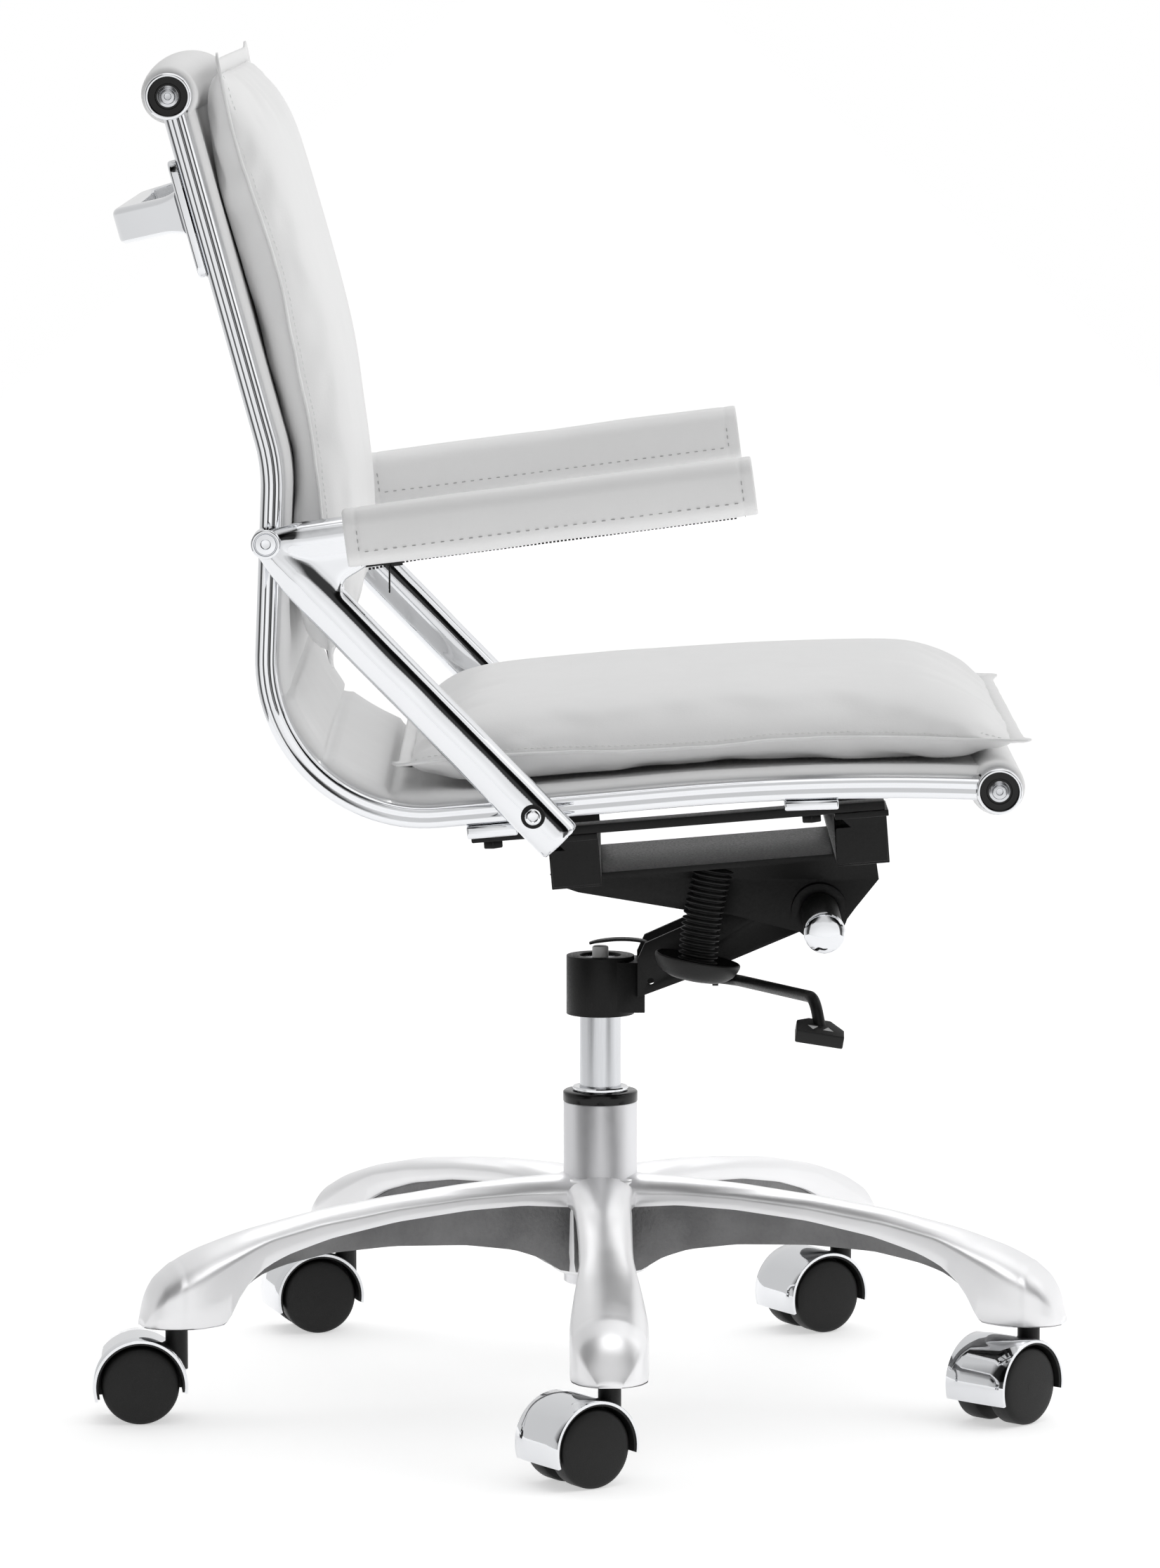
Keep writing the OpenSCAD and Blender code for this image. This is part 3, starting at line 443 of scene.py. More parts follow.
def turned(pose, radius, turn):
    """The pose after an arc. A negative turn is to the right."""
    y, z, a = pose
    b = a + radians(turn)
    s = copysign(radius, turn)
    return y + s * (sin(b) - sin(a)), z - s * (cos(b) - cos(a)), b


def stations(start, steps, gap=0.006):
    """Poses (y, z, heading) along the steps, about gap apart."""
    out = [start]
    for kind, size, *turn in steps:
        y, z, a = out[-1]
        if kind == "run":
            n = max(1, round(size / gap))
            out += [(y + size * k / n * cos(a), z + size * k / n * sin(a), a) for k in range(1, n + 1)]
        else:
            n = max(2, round(size * radians(abs(turn[0])) / gap))
            out += [turned((y, z, a), size, turn[0] * k / n) for k in range(1, n + 1)]
    return out


def at(pose, offset, x):
    """The point beside a pose: offset to the left of its heading, at that x."""
    y, z, a = pose
    return Vector((x, y - offset * sin(a), z + offset * cos(a)))


RAIL_START = (TOP_Y, TOP_Z, radians(270 - BACK_LEAN))
RAIL_PATH = stations(RAIL_START, RAIL_STEPS)
TUBES = ((TOP_Y, TOP_Z), RAIL_PATH[-1][:2])


def rail_section(side):
    """Two polished beads with a groove between them on the outer face."""
    points = []
    for c, s in circle(56):
        o = RAIL_D / 2 * copysign(abs(c) ** 0.62, c)
        w = RAIL_W / 2 * copysign(abs(s) ** 0.55, s)
        if s > 0:
            w -= 1.9 * MM * exp(-((o + 0.6 * MM) / (1.5 * MM)) ** 2)
        points.append((o, side * (RAIL_X + w)))
    return points


def make_rail(side):
    """One rail and the round eyes that hold the cross tubes."""
    bm = bmesh.new()
    section = rail_section(side)
    loft(bm, [[at(p, o, x) for o, x in section] for p in RAIL_PATH])
    h = RAIL_W / 2 / MM
    for y, z in TUBES:
        lathe(bm, [(0, -h), (13.5, -h), (15, -h + 1.5), (15, h), (0, h)], outward(side, RAIL_X, y, z))
    part(bm, "rail_%s_chrome" % SIDES[side], "chrome", 60, "seat", "rail_" + SIDES[side])


def make_ends():
    """Chromed ring, recessed black insert and screw at both ends of both cross tubes."""
    ring, insert, screw = bmesh.new(), bmesh.new(), bmesh.new()
    face = (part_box("end_rings")[1].x - RAIL_OUT) / MM
    for side in SIDES:
        for y, z in TUBES:
            m = outward(side, RAIL_OUT, y, z)
            lathe(ring, [(15, 0), (15, face - 1.2), (14.4, face - 0.3), (13.8, face), (12.9, face - 0.2),
                         (12.3, face - 1.2), (12.2, 0)], m)
            lathe(insert, [(0, 0), (12.2, 0), (12.2, 4), (8.4, 4), (8, 3.4), (7.4, 3.4), (7, 3.4), (0, 3.4)], m)
            lathe(screw, [(0, 3.4), (6.8, 3.4), (6.8, 4.9), (6.3, 5.3), (5.2, 5.3), (4.9, 5.5), (4.6, 6.2),
                          (4.0, 6.5), (2.4, 6.5), (2.2, 6.3), (2.0, 5.2), (0, 5.0)], m)
    part(ring, "end_rings_chrome", "chrome", 40, "seat", "end_rings")
    part(insert, "end_inserts_gloss", "black_gloss", 40, "seat", "end_inserts")
    part(screw, "end_screws_steel", "steel", 40, "seat", "end_screws")


# ---------- stitches

STITCH = 2.6 * MM


def stitch_row(bm, points, normals, pitch, radius):
    """Short raised thread stitches along a line of points, half sunk in the surface."""
    walked = 0.0
    target = pitch / 2
    for p, q, n in zip(points, points[1:], normals):
        step = (q - p).length
        while step > 0 and walked + step >= target:
            middle = p.lerp(q, (target - walked) / step)
            ahead = (q - p).normalized()
            side = ahead.cross(n).normalized()
            up = side.cross(ahead).normalized()
            rings = []
            for t, s, lift in ((-0.5, 0.35, -0.1), (-0.3, 0.9, 0.55), (0.3, 0.9, 0.55), (0.5, 0.35, -0.1)):
                centre = middle + ahead * (t * STITCH) + up * (radius * lift)
                rings.append([centre + (side * a + up * b) * radius * s for a, b in circle(6)])
            loft(bm, rings)
            target += pitch
        walked += step


# ---------- sling

SLING_T = 8 * MM
SLING_OFF = -8 * MM
SLING_HALF = RAIL_IN - 0.3 * MM
SLING_SEAMS = (0.397, 0.452, 0.507)
SLING_ROLL = 5.2 * MM
SLING_COUNT = 44


def sling_ring(pose, s):
    """A section across the sling: rolled edges, pinched at a seam, padded beside it. s is the way along."""
    pinch = sum(exp(-((s - q) / (2.6 * MM)) ** 2) for q in SLING_SEAMS)
    away = min(abs(s - q) for q in SLING_SEAMS)
    panel = 2.8 * MM * (1 - exp(-away / (9 * MM))) * exp(-(max(0.0, away - 0.03) / 0.02) ** 2)
    points = []
    for face, k in ((face, k) for face in (1, -1) for k in range(SLING_COUNT)):
        x = face * (-1 + 2 * k / (SLING_COUNT - 1))
        from_edge = (1 - abs(x)) * SLING_HALF
        bead = exp(-((from_edge - SLING_ROLL) / (4.2 * MM)) ** 2)
        edge = sqrt(max(0.0, 1 - max(0.0, 1 - from_edge / SLING_ROLL) ** 2))
        puff = 0.5 * MM * sin(pi * min(1, from_edge / 0.05))
        ripple = noise.noise(Vector((x * 9, s * 14, 3.0))) * 0.7 * MM
        half = SLING_T / 2 - 3.2 * MM * pinch + bead * 2.2 * MM + puff * (1 - pinch) + panel * (1 - bead)
        off = SLING_OFF - bead * 2.0 * MM + (face * half * max(edge, 0.12)) + ripple * (1 - bead)
        points.append(at(pose, off, x * SLING_HALF))
    return points


def make_sling():
    """The doubled leather sheet between the rails and its wraps round both cross tubes."""
    path = stations(RAIL_START, RAIL_STEPS, 0.003)
    lengths = [0.0]
    for p, q in zip(path, path[1:]):
        lengths.append(lengths[-1] + hypot(q[0] - p[0], q[1] - p[1]))
    bm = bmesh.new()
    loft(bm, [sling_ring(pose, s) for pose, s in zip(path, lengths)])
    h, inner = SLING_HALF / MM, TUBE_R / MM + 0.4
    for (y, z), wrap, swell in zip(TUBES, (18.2, 18.0), (6.0 * MM, 0.6 * MM)):
        first = len(bm.verts)
        lathe(bm, [(inner, -h), (wrap - 2.5, -h), (wrap - 0.7, -h + 0.8)]
              + [(wrap, h * x / 10.4) for x in range(-10, 11)]
              + [(wrap - 0.7, h - 0.8), (wrap - 2.5, h), (inner, h)], outward(1, 0, y, z), 72)
        bm.verts.ensure_lookup_table()
        for v in bm.verts[first:]:
            way = Vector((v.co.y - y, v.co.z - z))
            lean = max(0.0, way.normalized().dot(Vector((0.35, 0.94)))) ** 1.5
            if way.length > (wrap - 1) * MM:
                grow = swell * lean * (1 - (v.co.x / SLING_HALF) ** 2) ** 0.7
                v.co.y += grow * way.normalized().x
                v.co.z += grow * way.normalized().y
    part(bm, "sling_leather", "leather", None, "seat", "sling")


# ---------- pads

PAD_GRID = 48
PAD_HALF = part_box("back_pad")[1].x - 3 * MM
CLOTH_FRAMES = 20
CLOTH = {"vertex_group_mass": "held", "use_pressure": True, "uniform_pressure_force": 3.0, "shrink_min": -0.035,
         "bending_stiffness": 0.6, "tension_stiffness": 12, "compression_stiffness": 12, "mass": 0.4}
CLOTH_REACH = 2.2 * MM
# seam, crown and underside as (y, z) points in the middle of the chair
BACK_PAD = (((247, 905), (241, 880), (232, 845), (209.5, 776), (196, 711), (188, 672), (181, 614), (178, 565),
             (176.5, 524)),
            ((226, 896), (212, 864), (196, 812), (173, 726), (164, 668), (158, 618), (157, 580), (160, 545),
             (168, 527)),
            ((258.5, 891), (252, 862), (245.5, 828), (229.5, 773), (205.8, 679), (199, 652), (198, 600),
             (197.5, 560), (193, 528)))
SEAT_PAD = (((-271, 468), (-241, 469.5), (-180, 471), (-110, 469), (-82, 465.5), (-24, 462), (23, 461),
             (86, 458), (128, 452)),
            ((-266, 474), (-252, 487), (-222, 498), (-190, 500.5), (-105, 498), (-40, 494), (0, 491),
             (86, 481), (122, 464)),
            ((-264, 463), (-250, 459.5), (-223, 457.5), (-105, 456), (-50, 452), (0, 448.5), (50, 444.5),
             (86, 442), (124, 445)))


def spline(points, count):
    """Catmull-Rom curve through the points, evenly resampled."""
    pts = [Vector(p) for p in points]
    pts = [2 * pts[0] - pts[1]] + pts + [2 * pts[-1] - pts[-2]]
    fine = []
    for i in range(1, len(pts) - 2):
        for t in (k / 24 for k in range(24)):
            a, b, c, d = pts[i - 1:i + 3]
            fine.append(0.5 * (2 * b + (c - a) * t + (2 * a - 5 * b + 4 * c - d) * t * t
                               + (3 * b - a - 3 * c + d) * t ** 3))
    fine.append(pts[-2])
    lengths = [0.0]
    for p, q in zip(fine, fine[1:]):
        lengths.append(lengths[-1] + (q - p).length)
    out = []
    j = 0
    for k in range(count):
        target = lengths[-1] * k / (count - 1)
        while j < len(fine) - 2 and lengths[j + 1] < target:
            j += 1
        span = lengths[j + 1] - lengths[j]
        out.append(fine[j].lerp(fine[j + 1], (target - lengths[j]) / span if span else 0))
    return out


def pad_grid(*lines):
    """Front and back sheets of a pad, sewn together round the seam. Returns the mesh and the seam loop."""
    seam, crown, under = (spline([(0, y * MM, z * MM) for y, z in line], PAD_GRID) for line in lines)
    bm = bmesh.new()
    last = PAD_GRID - 1
    front, back = [], []
    for i in range(PAD_GRID):
        t = -1 + 2 * i / last
        end = (1 - abs(t) ** 12) ** 0.5
        front.append([])
        back.append([])
        for j in range(PAD_GRID):
            v = sin(pi / 2 * (-1 + 2 * j / last))
            rim = i in (0, last) or j in (0, last)
            lift = 0 if rim else end * (1 - abs(v) ** 7) ** 0.5
            sag = 0 if rim else end * (1 - abs(v) ** 40) ** 0.5
            draw = 1 - 0.012 * (1 - abs(t) ** 2) * abs(v) ** 8
            x = Vector((v * PAD_HALF * draw, 0, 0))
            a = bm.verts.new(seam[i] + (crown[i] - seam[i]) * lift + x)
            front[i].append(a)
            back[i].append(a if rim else bm.verts.new(seam[i] + (under[i] - seam[i]) * sag + x))
    sewn = {v for row in front for v in row}
    for grid, order in ((front, 1), (back, -1)):
        for i in range(last):
            for j in range(last):
                quad = [grid[i][j], grid[i][j + 1], grid[i + 1][j + 1], grid[i + 1][j]][::order]
                if grid is front or not all(v in sewn for v in quad):
                    bm.faces.new(quad)
    loop = (front[0] + [row[-1] for row in front[1:]] + list(reversed(front[-1]))[1:]
            + [row[0] for row in reversed(front)][1:-1])
    return bm, [v.co.copy() for v in loop]


def puff_up(piece, seam_points):
    """Cloth with pressure, sewn edge held, run and applied. No point moves further than CLOTH_REACH."""
    work = bmesh.new()
    work.from_mesh(piece.data)
    if work.calc_volume(signed=True) < 0:
        bmesh.ops.reverse_faces(work, faces=work.faces)
        work.to_mesh(piece.data)
    work.free()
    rest = [v.co.copy() for v in piece.data.vertices]
    keys = {tuple(round(c, 5) for c in p) for p in seam_points}
    held = piece.vertex_groups.new(name="held")
    held.add([v.index for v in piece.data.vertices if tuple(round(c, 5) for c in v.co) in keys], 1.0, "REPLACE")
    cloth = piece.modifiers.new("cloth", "CLOTH")
    for key, value in CLOTH.items():
        setattr(cloth.settings, key, value)
    cloth.settings.effector_weights.gravity = 0
    cloth.collision_settings.use_collision = False
    for f in range(1, CLOTH_FRAMES + 1):
        scene.frame_set(f)
    apply_modifiers(piece)
    scene.frame_set(1)
    for v, r in zip(piece.data.vertices, rest):
        move = v.co - r
        if move.length > CLOTH_REACH:
            v.co = r + move * (CLOTH_REACH / move.length)
    piece.vertex_groups.clear()


def seam_way(loop, k):
    """Direction of the seam at its point k."""
    return (loop[(k + 1) % len(loop)] - loop[k - 1]).normalized()


def make_flange(loop, middle, up, ears):
    """The raised sewn edge round a pad: a thin ruffled lip, longer at its corners."""
    bm = bmesh.new()
    count = len(loop)
    tips = []
    for k, p in enumerate(loop):
        out = seam_way(loop, k).cross(up).normalized()
        tips.append(-out if out.dot(p - middle) < 0 else out)
    thick, sunk = 1.1 * MM, 7 * MM
    rows = []
    for k, p in enumerate(loop):
        out = sum((tips[(k + d) % count] for d in (-2, -1, 0, 1, 2)), Vector()).normalized()
        near = min((p - e).length for e in ears)
        reach = 4.0 * MM + 4.5 * MM * exp(-(near / 0.013) ** 2)
        wave = 0.8 * MM * noise.noise(p * 60) + 1.4 * MM * exp(-(near / 0.02) ** 2)
        upper = ((-sunk, 1, 0), (reach * 0.55, 1, 0.6), (reach, 0.6, 1))
        ring = upper + tuple((a, -b, c) for a, b, c in reversed(upper))
        rows.append([bm.verts.new(p + out * a + up * (thick * b + wave * c)) for a, b, c in ring])
    for a, b in zip(rows, rows[1:] + rows[:1]):
        for m in range(6):
            n = (m + 1) % 6
            bm.faces.new((a[m], a[n], b[n], b[m]))
    return bm


def make_pad(name, lines, facing):
    """One pad: puffed and puckered body, sewn flange and a row of white stitches inside the seam."""
    bm, loop = pad_grid(*lines)
    piece = link_mesh(name + "_leather", bm, "leather")
    puff_up(piece, loop)
    up = Vector(facing)
    middle = sum(loop, Vector()) / len(loop)
    for v in piece.data.vertices:
        near = min((v.co - p).length for p in loop[::3])
        pucker = exp(-near / 0.012) * (1 if near > 0.002 else 0)
        side = 1 if (v.co - middle).dot(up) > 0 else 0.3
        v.co += up * pucker * side * 0.9 * MM * noise.noise(v.co * 75)
    sub = piece.modifiers.new("round", "SUBSURF")
    sub.levels = 1
    apply_modifiers(piece)
    flange = make_flange(loop, middle, up, loop[::PAD_GRID - 1])
    edge = link_mesh(name + "_flange", flange, "leather")
    tree = BVHTree.FromPolygons([v.co for v in piece.data.vertices], [p.vertices for p in piece.data.polygons])
    line, normals = [], []
    for k, p in enumerate(loop):
        way = middle - p
        way -= up * way.dot(up)
        ahead = seam_way(loop, k)
        way -= ahead * way.dot(ahead)
        point, normal, _, _ = tree.find_nearest(p + (way.normalized() + up * 0.45) * (4.6 * MM))
        line.append(point)
        normals.append(normal)
    rows = bmesh.new()
    stitch_row(rows, line + line[:1], normals + normals[:1], 4.2 * MM, 0.34 * MM)
    thread = link_mesh(name + "_stitches", rows, "white_thread")
    for made in (piece, edge, thread):
        placed(made, "seat", "white_leather")
    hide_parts(name)


# ---------- arms and sleeves

ARM_TILT = 7.4
ARM_THICK = 22 * MM
SLEEVE_BACK = (164 * MM, 604 * MM)
SLEEVE_LEN = 264
SLEEVE_HIGH = 36 * MM
HEM = 8.2
SLEEVE_MARKS = (0, 0.6, 1.6, 3, 5, 7, 8.2, 9.4, 11, 14, 20, *range(28, 240, 8), 244, 250, 253, 254.6, 255.8, 257,
                259, 261, 262.6, 263.5, 264)
BOSS = (215 * MM, 600.6 * MM)
STRUT_END = (25.75 * MM, 407 * MM)
STRUT_ANGLE = 45.7
LOWER_BOLT = (44 * MM, 425.4 * MM)
sleeve_low, sleeve_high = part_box("sleeve_left")
ARM_X = (sleeve_low.x + sleeve_high.x) / 2


def tilted(x, y, z):
    """A frame whose Z axis runs forward along the arm, with X across and Y pointing up."""
    return Matrix.Translation((x, y, z)) @ spin(90 - ARM_TILT, "X")


def make_sleeve(side):
    """Leather sleeve: hemmed ends, soft sides, stitching along the hems and the bottom edge."""
    name = SIDES[side]
    low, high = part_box("sleeve_" + name)
    w, h = high.x - low.x - 1 * MM, SLEEVE_HIGH
    m = tilted(side * ARM_X, *SLEEVE_BACK)
    rings = []
    for s in SLEEVE_MARKS:
        hem = min(s, SLEEVE_LEN - s)
        pinch = 0.55 * MM * exp(-((hem - HEM) / 1.1) ** 2)
        roundness = 0.9 * MM * max(0, 1 - hem / 1.6) ** 2
        puff = 0.8 * MM * sin(pi * min(1, max(0, (hem - 8) / 120)))
        grow = puff - pinch - roundness
        ring = []
        for a, b in rounded_section(w + 2 * grow, h + 1.2 * grow, 10 * MM, 6):
            soft = 0.45 * MM * noise.noise(Vector((a * 40, b * 40, s * MM * 30 + 5 * side)))
            flat = 1 + soft / max(abs(a) + abs(b), 1e-3)
            ring.append(m @ Vector((a * flat, b * flat, s * MM)))
        rings.append(ring)
    bm = bmesh.new()
    loft(bm, rings)
    part(bm, "sleeve_%s_leather" % name, "leather", 70, "seat", "sleeve_" + name)
    rows = bmesh.new()
    half_w, half_h = w / 2 + 0.1 * MM, h / 2 + 0.1 * MM

    def sew(points, way, pitch=5.2):
        line = [m @ Vector(p) for p in points]
        stitch_row(rows, line, [m.to_3x3() @ Vector(way)] * len(line), pitch * MM, 0.35 * MM)

    for t in (HEM * MM, (SLEEVE_LEN - HEM) * MM):
        for flank in (-1, 1):
            sew([(flank * half_w, b * MM, t) for b in range(-9, 10)], (flank, 0, 0))
        sew([(a * MM, -half_h, t) for a in range(-13, 14)], (0, -1, 0))
    for flank in (-1, 1):
        sew([(flank * (half_w + 0.7 * MM), 9.6 * MM - half_h, (10 + 4 * k) * MM) for k in range(62)], (flank, 0, 0),
            6.1)
    part(rows, "sleeve_%s_stitches" % name, "thread", None, "seat")


def arm_ring(place, height, scale_x, scale_y, s):
    """An oval section of the arm, s along its frame."""
    ring = []
    for c, q in circle(48):
        a = ARM_THICK / 2 * copysign(abs(c) ** (2 / 2.15), c)
        b = height * MM / 2 * copysign(abs(q) ** (2 / 2.15), q)
        ring.append(place @ Vector((a * scale_x, b * scale_y, s * MM)))
    return ring


def cast_in_one(piece):
    """Fuses overlapping closed shapes into one smooth, slightly uneven casting."""
    fuse = piece.modifiers.new("fuse", "REMESH")
    fuse.mode = "VOXEL"
    fuse.voxel_size = 1.5 * MM
    fuse.use_smooth_shade = True
    soften = piece.modifiers.new("soften", "SMOOTH")
    soften.factor = 0.5
    soften.iterations = 22
    apply_modifiers(piece)
    normals = [v.normal.copy() for v in piece.data.vertices]
    for v, n in zip(piece.data.vertices, normals):
        v.co += n * (0.22 * MM * noise.noise(v.co * 30))
    return piece


def make_arm(side):
    """Polished arm cast in one: slanted strut, bar in the sleeve, web at the root. Bosses on the rail."""
    x, name = side * ARM_X, SIDES[side]
    bm = bmesh.new()
    rise = Matrix.Translation((x, *STRUT_END)) @ spin(STRUT_ANGLE - 90, "X")
    loft(bm, [arm_ring(rise, 30.5, 0.5 + 0.5 * k, k, s) for s, k in
              ((0, 1), (120, 1), (222, 1.0), (240, 0.95), (256, 0.82), (266, 0.70), (272, 0.62))])
    bar = tilted(x, BOSS[0] - 12 * MM, BOSS[1] + 0.5 * MM)
    loft(bm, [arm_ring(bar, 24.5, k, k, s) for s, k in
              ((-13, 0.66), (-8, 0.74), (-1, 0.88), (8, 1), (289, 1), (291, 0.9))])
    outline = ((212, 596), (207, 604), (150, 609), (143, 602), (150, 586), (164.5, 577.5), (170, 560), (182, 567.5),
               (200, 586))
    mid_y, mid_z = 186, 590
    loft(bm, [[Vector((x + ARM_THICK * d, (mid_y + (y - mid_y) * k) * MM, (mid_z + (z - mid_z) * k) * MM))
               for y, z in outline] for d, k in ((-0.36, 0.96), (-0.33, 1.0), (0.33, 1.0), (0.36, 0.96))])
    placed(cast_in_one(link_mesh("arm_%s_chrome" % name, bm, "chrome")), "seat", "polished_chrome", "arm_" + name)
    bosses = bmesh.new()
    base = RAIL_OUT + 0.3 * MM
    lathe(bosses, [(0, 0), (9.6, 0), (9.6, 23.9), (9.3, 24.6), (8.7, 24.9), (7.7, 24.8), (7.4, 24.2), (7.3, 22.8),
                   (0, 22.8)], outward(side, base, *BOSS), 64)
    lathe(bosses, [(0, 0), (8.8, 0), (8.8, 6), (0, 6)], outward(side, base, *LOWER_BOLT), 48)
    part(bosses, "arm_%s_bosses" % name, "chrome", 50, "seat")


def make_arm_bolts():
    """Socket-head bolts: a dished washer and a head with a round socket."""
    bolt, washer = bmesh.new(), bmesh.new()
    for side in SIDES:
        lathe(bolt, [(0, 0), (6.9, 0), (6.9, 3.4), (6.5, 3.9), (3.4, 4.1), (3.1, 3.8), (2.8, 2.0), (0, 1.8)],
              outward(side, RAIL_OUT + 21.3 * MM, *BOSS), 48)
        lathe(washer, [(4, 0), (7.8, 0), (7.8, 1.3), (7.2, 2), (4, 2)],
              outward(side, ARM_X + 11 * MM, *LOWER_BOLT), 48)
        lathe(bolt, [(0, 0), (5.4, 0), (5.3, 1.8), (4.4, 2.8), (3.4, 3), (2.9, 2.6), (2.7, 1.0), (0, 0.8)],
              outward(side, ARM_X + 13 * MM, *LOWER_BOLT), 48)
    part(bolt, "arm_bolts_chrome", "chrome", 40, "seat", "arm_bolts")
    part(washer, "arm_washers_black", "black_steel", 40, "seat", "arm_washers")


# ---------- rear handle


def make_handle():
    """Polished bow between two flange plates, in the leaning frame of the back."""
    lean = Matrix.Translation((0, TOP_Y, TOP_Z)) @ spin(-BACK_LEAN, "X")
    start_x, near, far, turn, corner = RAIL_X - 4 * MM, 9 * MM, 55 * MM, 30, 20 * MM
    t = radians(turn)
    arm = (far - near - corner * (1 - cos(t))) / sin(t)
    half = start_x - arm * cos(t) - corner * sin(t)
    path = stations((-start_x, near, t), (("run", arm), ("arc", corner, -turn), ("run", 2 * half),
                                          ("arc", corner, -turn), ("run", arm)), 0.004)
    section = rounded_section(12 * MM, 24 * MM, 4.4 * MM, 5)
    rings = []
    for x, y, a in path:
        flare = 1 + 0.28 * (1 - min(1, (y - near) / (16 * MM))) ** 2
        rings.append([lean @ Vector((x - o * sin(a), y + o * cos(a), -74 * MM + h * flare))
                      for o, h in section])
    bow = bmesh.new()
    loft(bow, rings)
    plates = bmesh.new()
    outline = rounded_section(18 * MM, 78 * MM, 8.6 * MM, 8)
    for side in SIDES:
        loft(plates, [[lean @ Vector((side * (RAIL_X - 1 * MM) + a * k, RAIL_D / 2 + (0.1 + d) * MM,
                                      b * (1 - (1 - k) * 0.3) - 79 * MM)) for a, b in outline]
                      for d, k in ((0, 1), (3.8, 1), (4.9, 0.96), (5.4, 0.86))])
    part(bow, "back_handle_bow", "chrome", 60, "seat", "back_handle")
    part(plates, "back_handle_plates", "chrome", 60, "seat")


# ---------- base

BASE_TOP = ((20, 148), (60, 147.6), (100, 146), (150, 142), (202, 135), (253, 124), (285, 114), (302, 106),
            (314, 96.5), (321, 84), (324.5, 64))
BASE_LIP = ((20, 131), (60, 134), (100, 132.5), (150, 127.5), (196, 119), (228, 109.5), (244, 102), (257, 91),
            (265, 79), (270, 66), (290, 64), (324, 64))
BASE_WEB = ((20, 86), (34, 87), (46, 96), (66, 103), (100, 108), (150, 110), (196, 108), (228, 102), (246, 96),
            (258, 88), (268, 76), (274, 65), (290, 64), (324, 64))
BASE_HALF = ((20, 24), (36, 23), (60, 19.8), (100, 18.2), (160, 17.6), (210, 17.8), (240, 20), (262, 23), (288, 26),
             (304, 25), (314, 21), (320, 16), (323, 11), (324.5, 6))
WEB_HALF = ((20, 20), (60, 14), (160, 12), (240, 14), (262, 18), (276, 24), (325, 25))
CROWN_STEPS = (0, 0.2, 0.4, 0.55, 0.68, 0.79, 0.87, 0.93, 0.97, 0.993, 1)
LEG_RADII = (*(22 + 6 * k for k in range(40)), *range(262, 299, 3), *range(300, 317, 2), 317.5, 319, 320.2, 321.3,
             322.2, 323, 323.6, 324.1, 324.4)
LEG_PHASE = 181


def along(table, r):
    """Value at r in a short table of (place, value)."""
    for (a, va), (b, vb) in zip(table, table[1:]):
        if r <= b:
            return va + (vb - va) * max(0, min(1, (r - a) / (b - a)))
    return table[-1][1]


def smooth_along(table, r, width):
    """The table's value blurred over a width."""
    near = [along(table, min(max(r + width * d, table[0][0]), table[-1][0])) for d in (-1, -0.5, 0, 0.5, 1)]
    return (near[0] + 2 * near[1] + 3 * near[2] + 2 * near[3] + near[4]) / 9


def leg_ring(r, turn):
    """One section across a leg: crowned top, soft edge, thin lip, web below. Points with material numbers."""
    width = 3 if r > 300 else 9
    top = smooth_along(BASE_TOP, r, width)
    lip = min(smooth_along(BASE_LIP, r, 5), top - 1.5)
    web = min(smooth_along(BASE_WEB, r, 5), lip)
    half = smooth_along(BASE_HALF, r, width)
    web_half = min(half - 1.2, along(WEB_HALF, r))
    foot = min(max((r - 240) / 50, 0), 1)
    crown = min(8 + 11 * foot, (top - lip) * 0.5, half * 0.75)
    side = [(half * f, top - crown * (0.25 * f * f + 0.75 * (1 - (1 - f ** 2.4) ** (1 / 2.4))), 0)
            for f in CROWN_STEPS]
    ridge = 24 * (1 - (r - 30) / 135)
    if ridge > 1:
        side = [(w, z + 3.2 * (ridge / 24) * max(0, 1 - (w / ridge) ** 2), m) for w, z, m in side]
    low_edge = lip + min(1.5, (top - lip) * 0.2)
    side += [(half, (side[-1][1] + low_edge) / 2, 0), (half, low_edge, 0), (half - 1.2, lip, 0),
             (web_half + 0.8, lip, 1), (web_half, min(lip, web + (lip - web) * 0.9), 1),
             (web_half - 0.6, web + (lip - web) * 0.15, 1), (web_half - 1.6, web, 1), (0, web, 1)]
    ring = side + [(-w, z, m) for w, z, m in reversed(side[1:-1])]
    c, s = cos(turn), sin(turn)
    return [(mm(r * c - w * s, r * s + w * c, z), m) for w, z, m in ring]


def make_base():
    """Five polished legs, rough underneath, round a hub."""
    bm = bmesh.new()
    for k in range(5):
        rings = [leg_ring(r, radians(LEG_PHASE + 72 * k)) for r in LEG_RADII]
        marks = [m for _, m in rings[0]]
        marks.append(marks[0])
        loft(bm, [[p for p, _ in ring] for ring in rings], lambda j: 1 if marks[j] and marks[j + 1] else 0)
    lathe(bm, [(25.3, 90), (25.3, 84), (30, 84), (33, 86.5), (34, 100), (33.8, 130), (33, 143), (31.6, 147.6),
               (29.5, 149), (25.3, 149.4)], ORIGIN, 96)
    piece = crisp(link_mesh("base_star_casting", bm, "polished", "cast"), 42)
    placed(piece, "base", "polished_aluminium", "base_star")


# ---------- casters

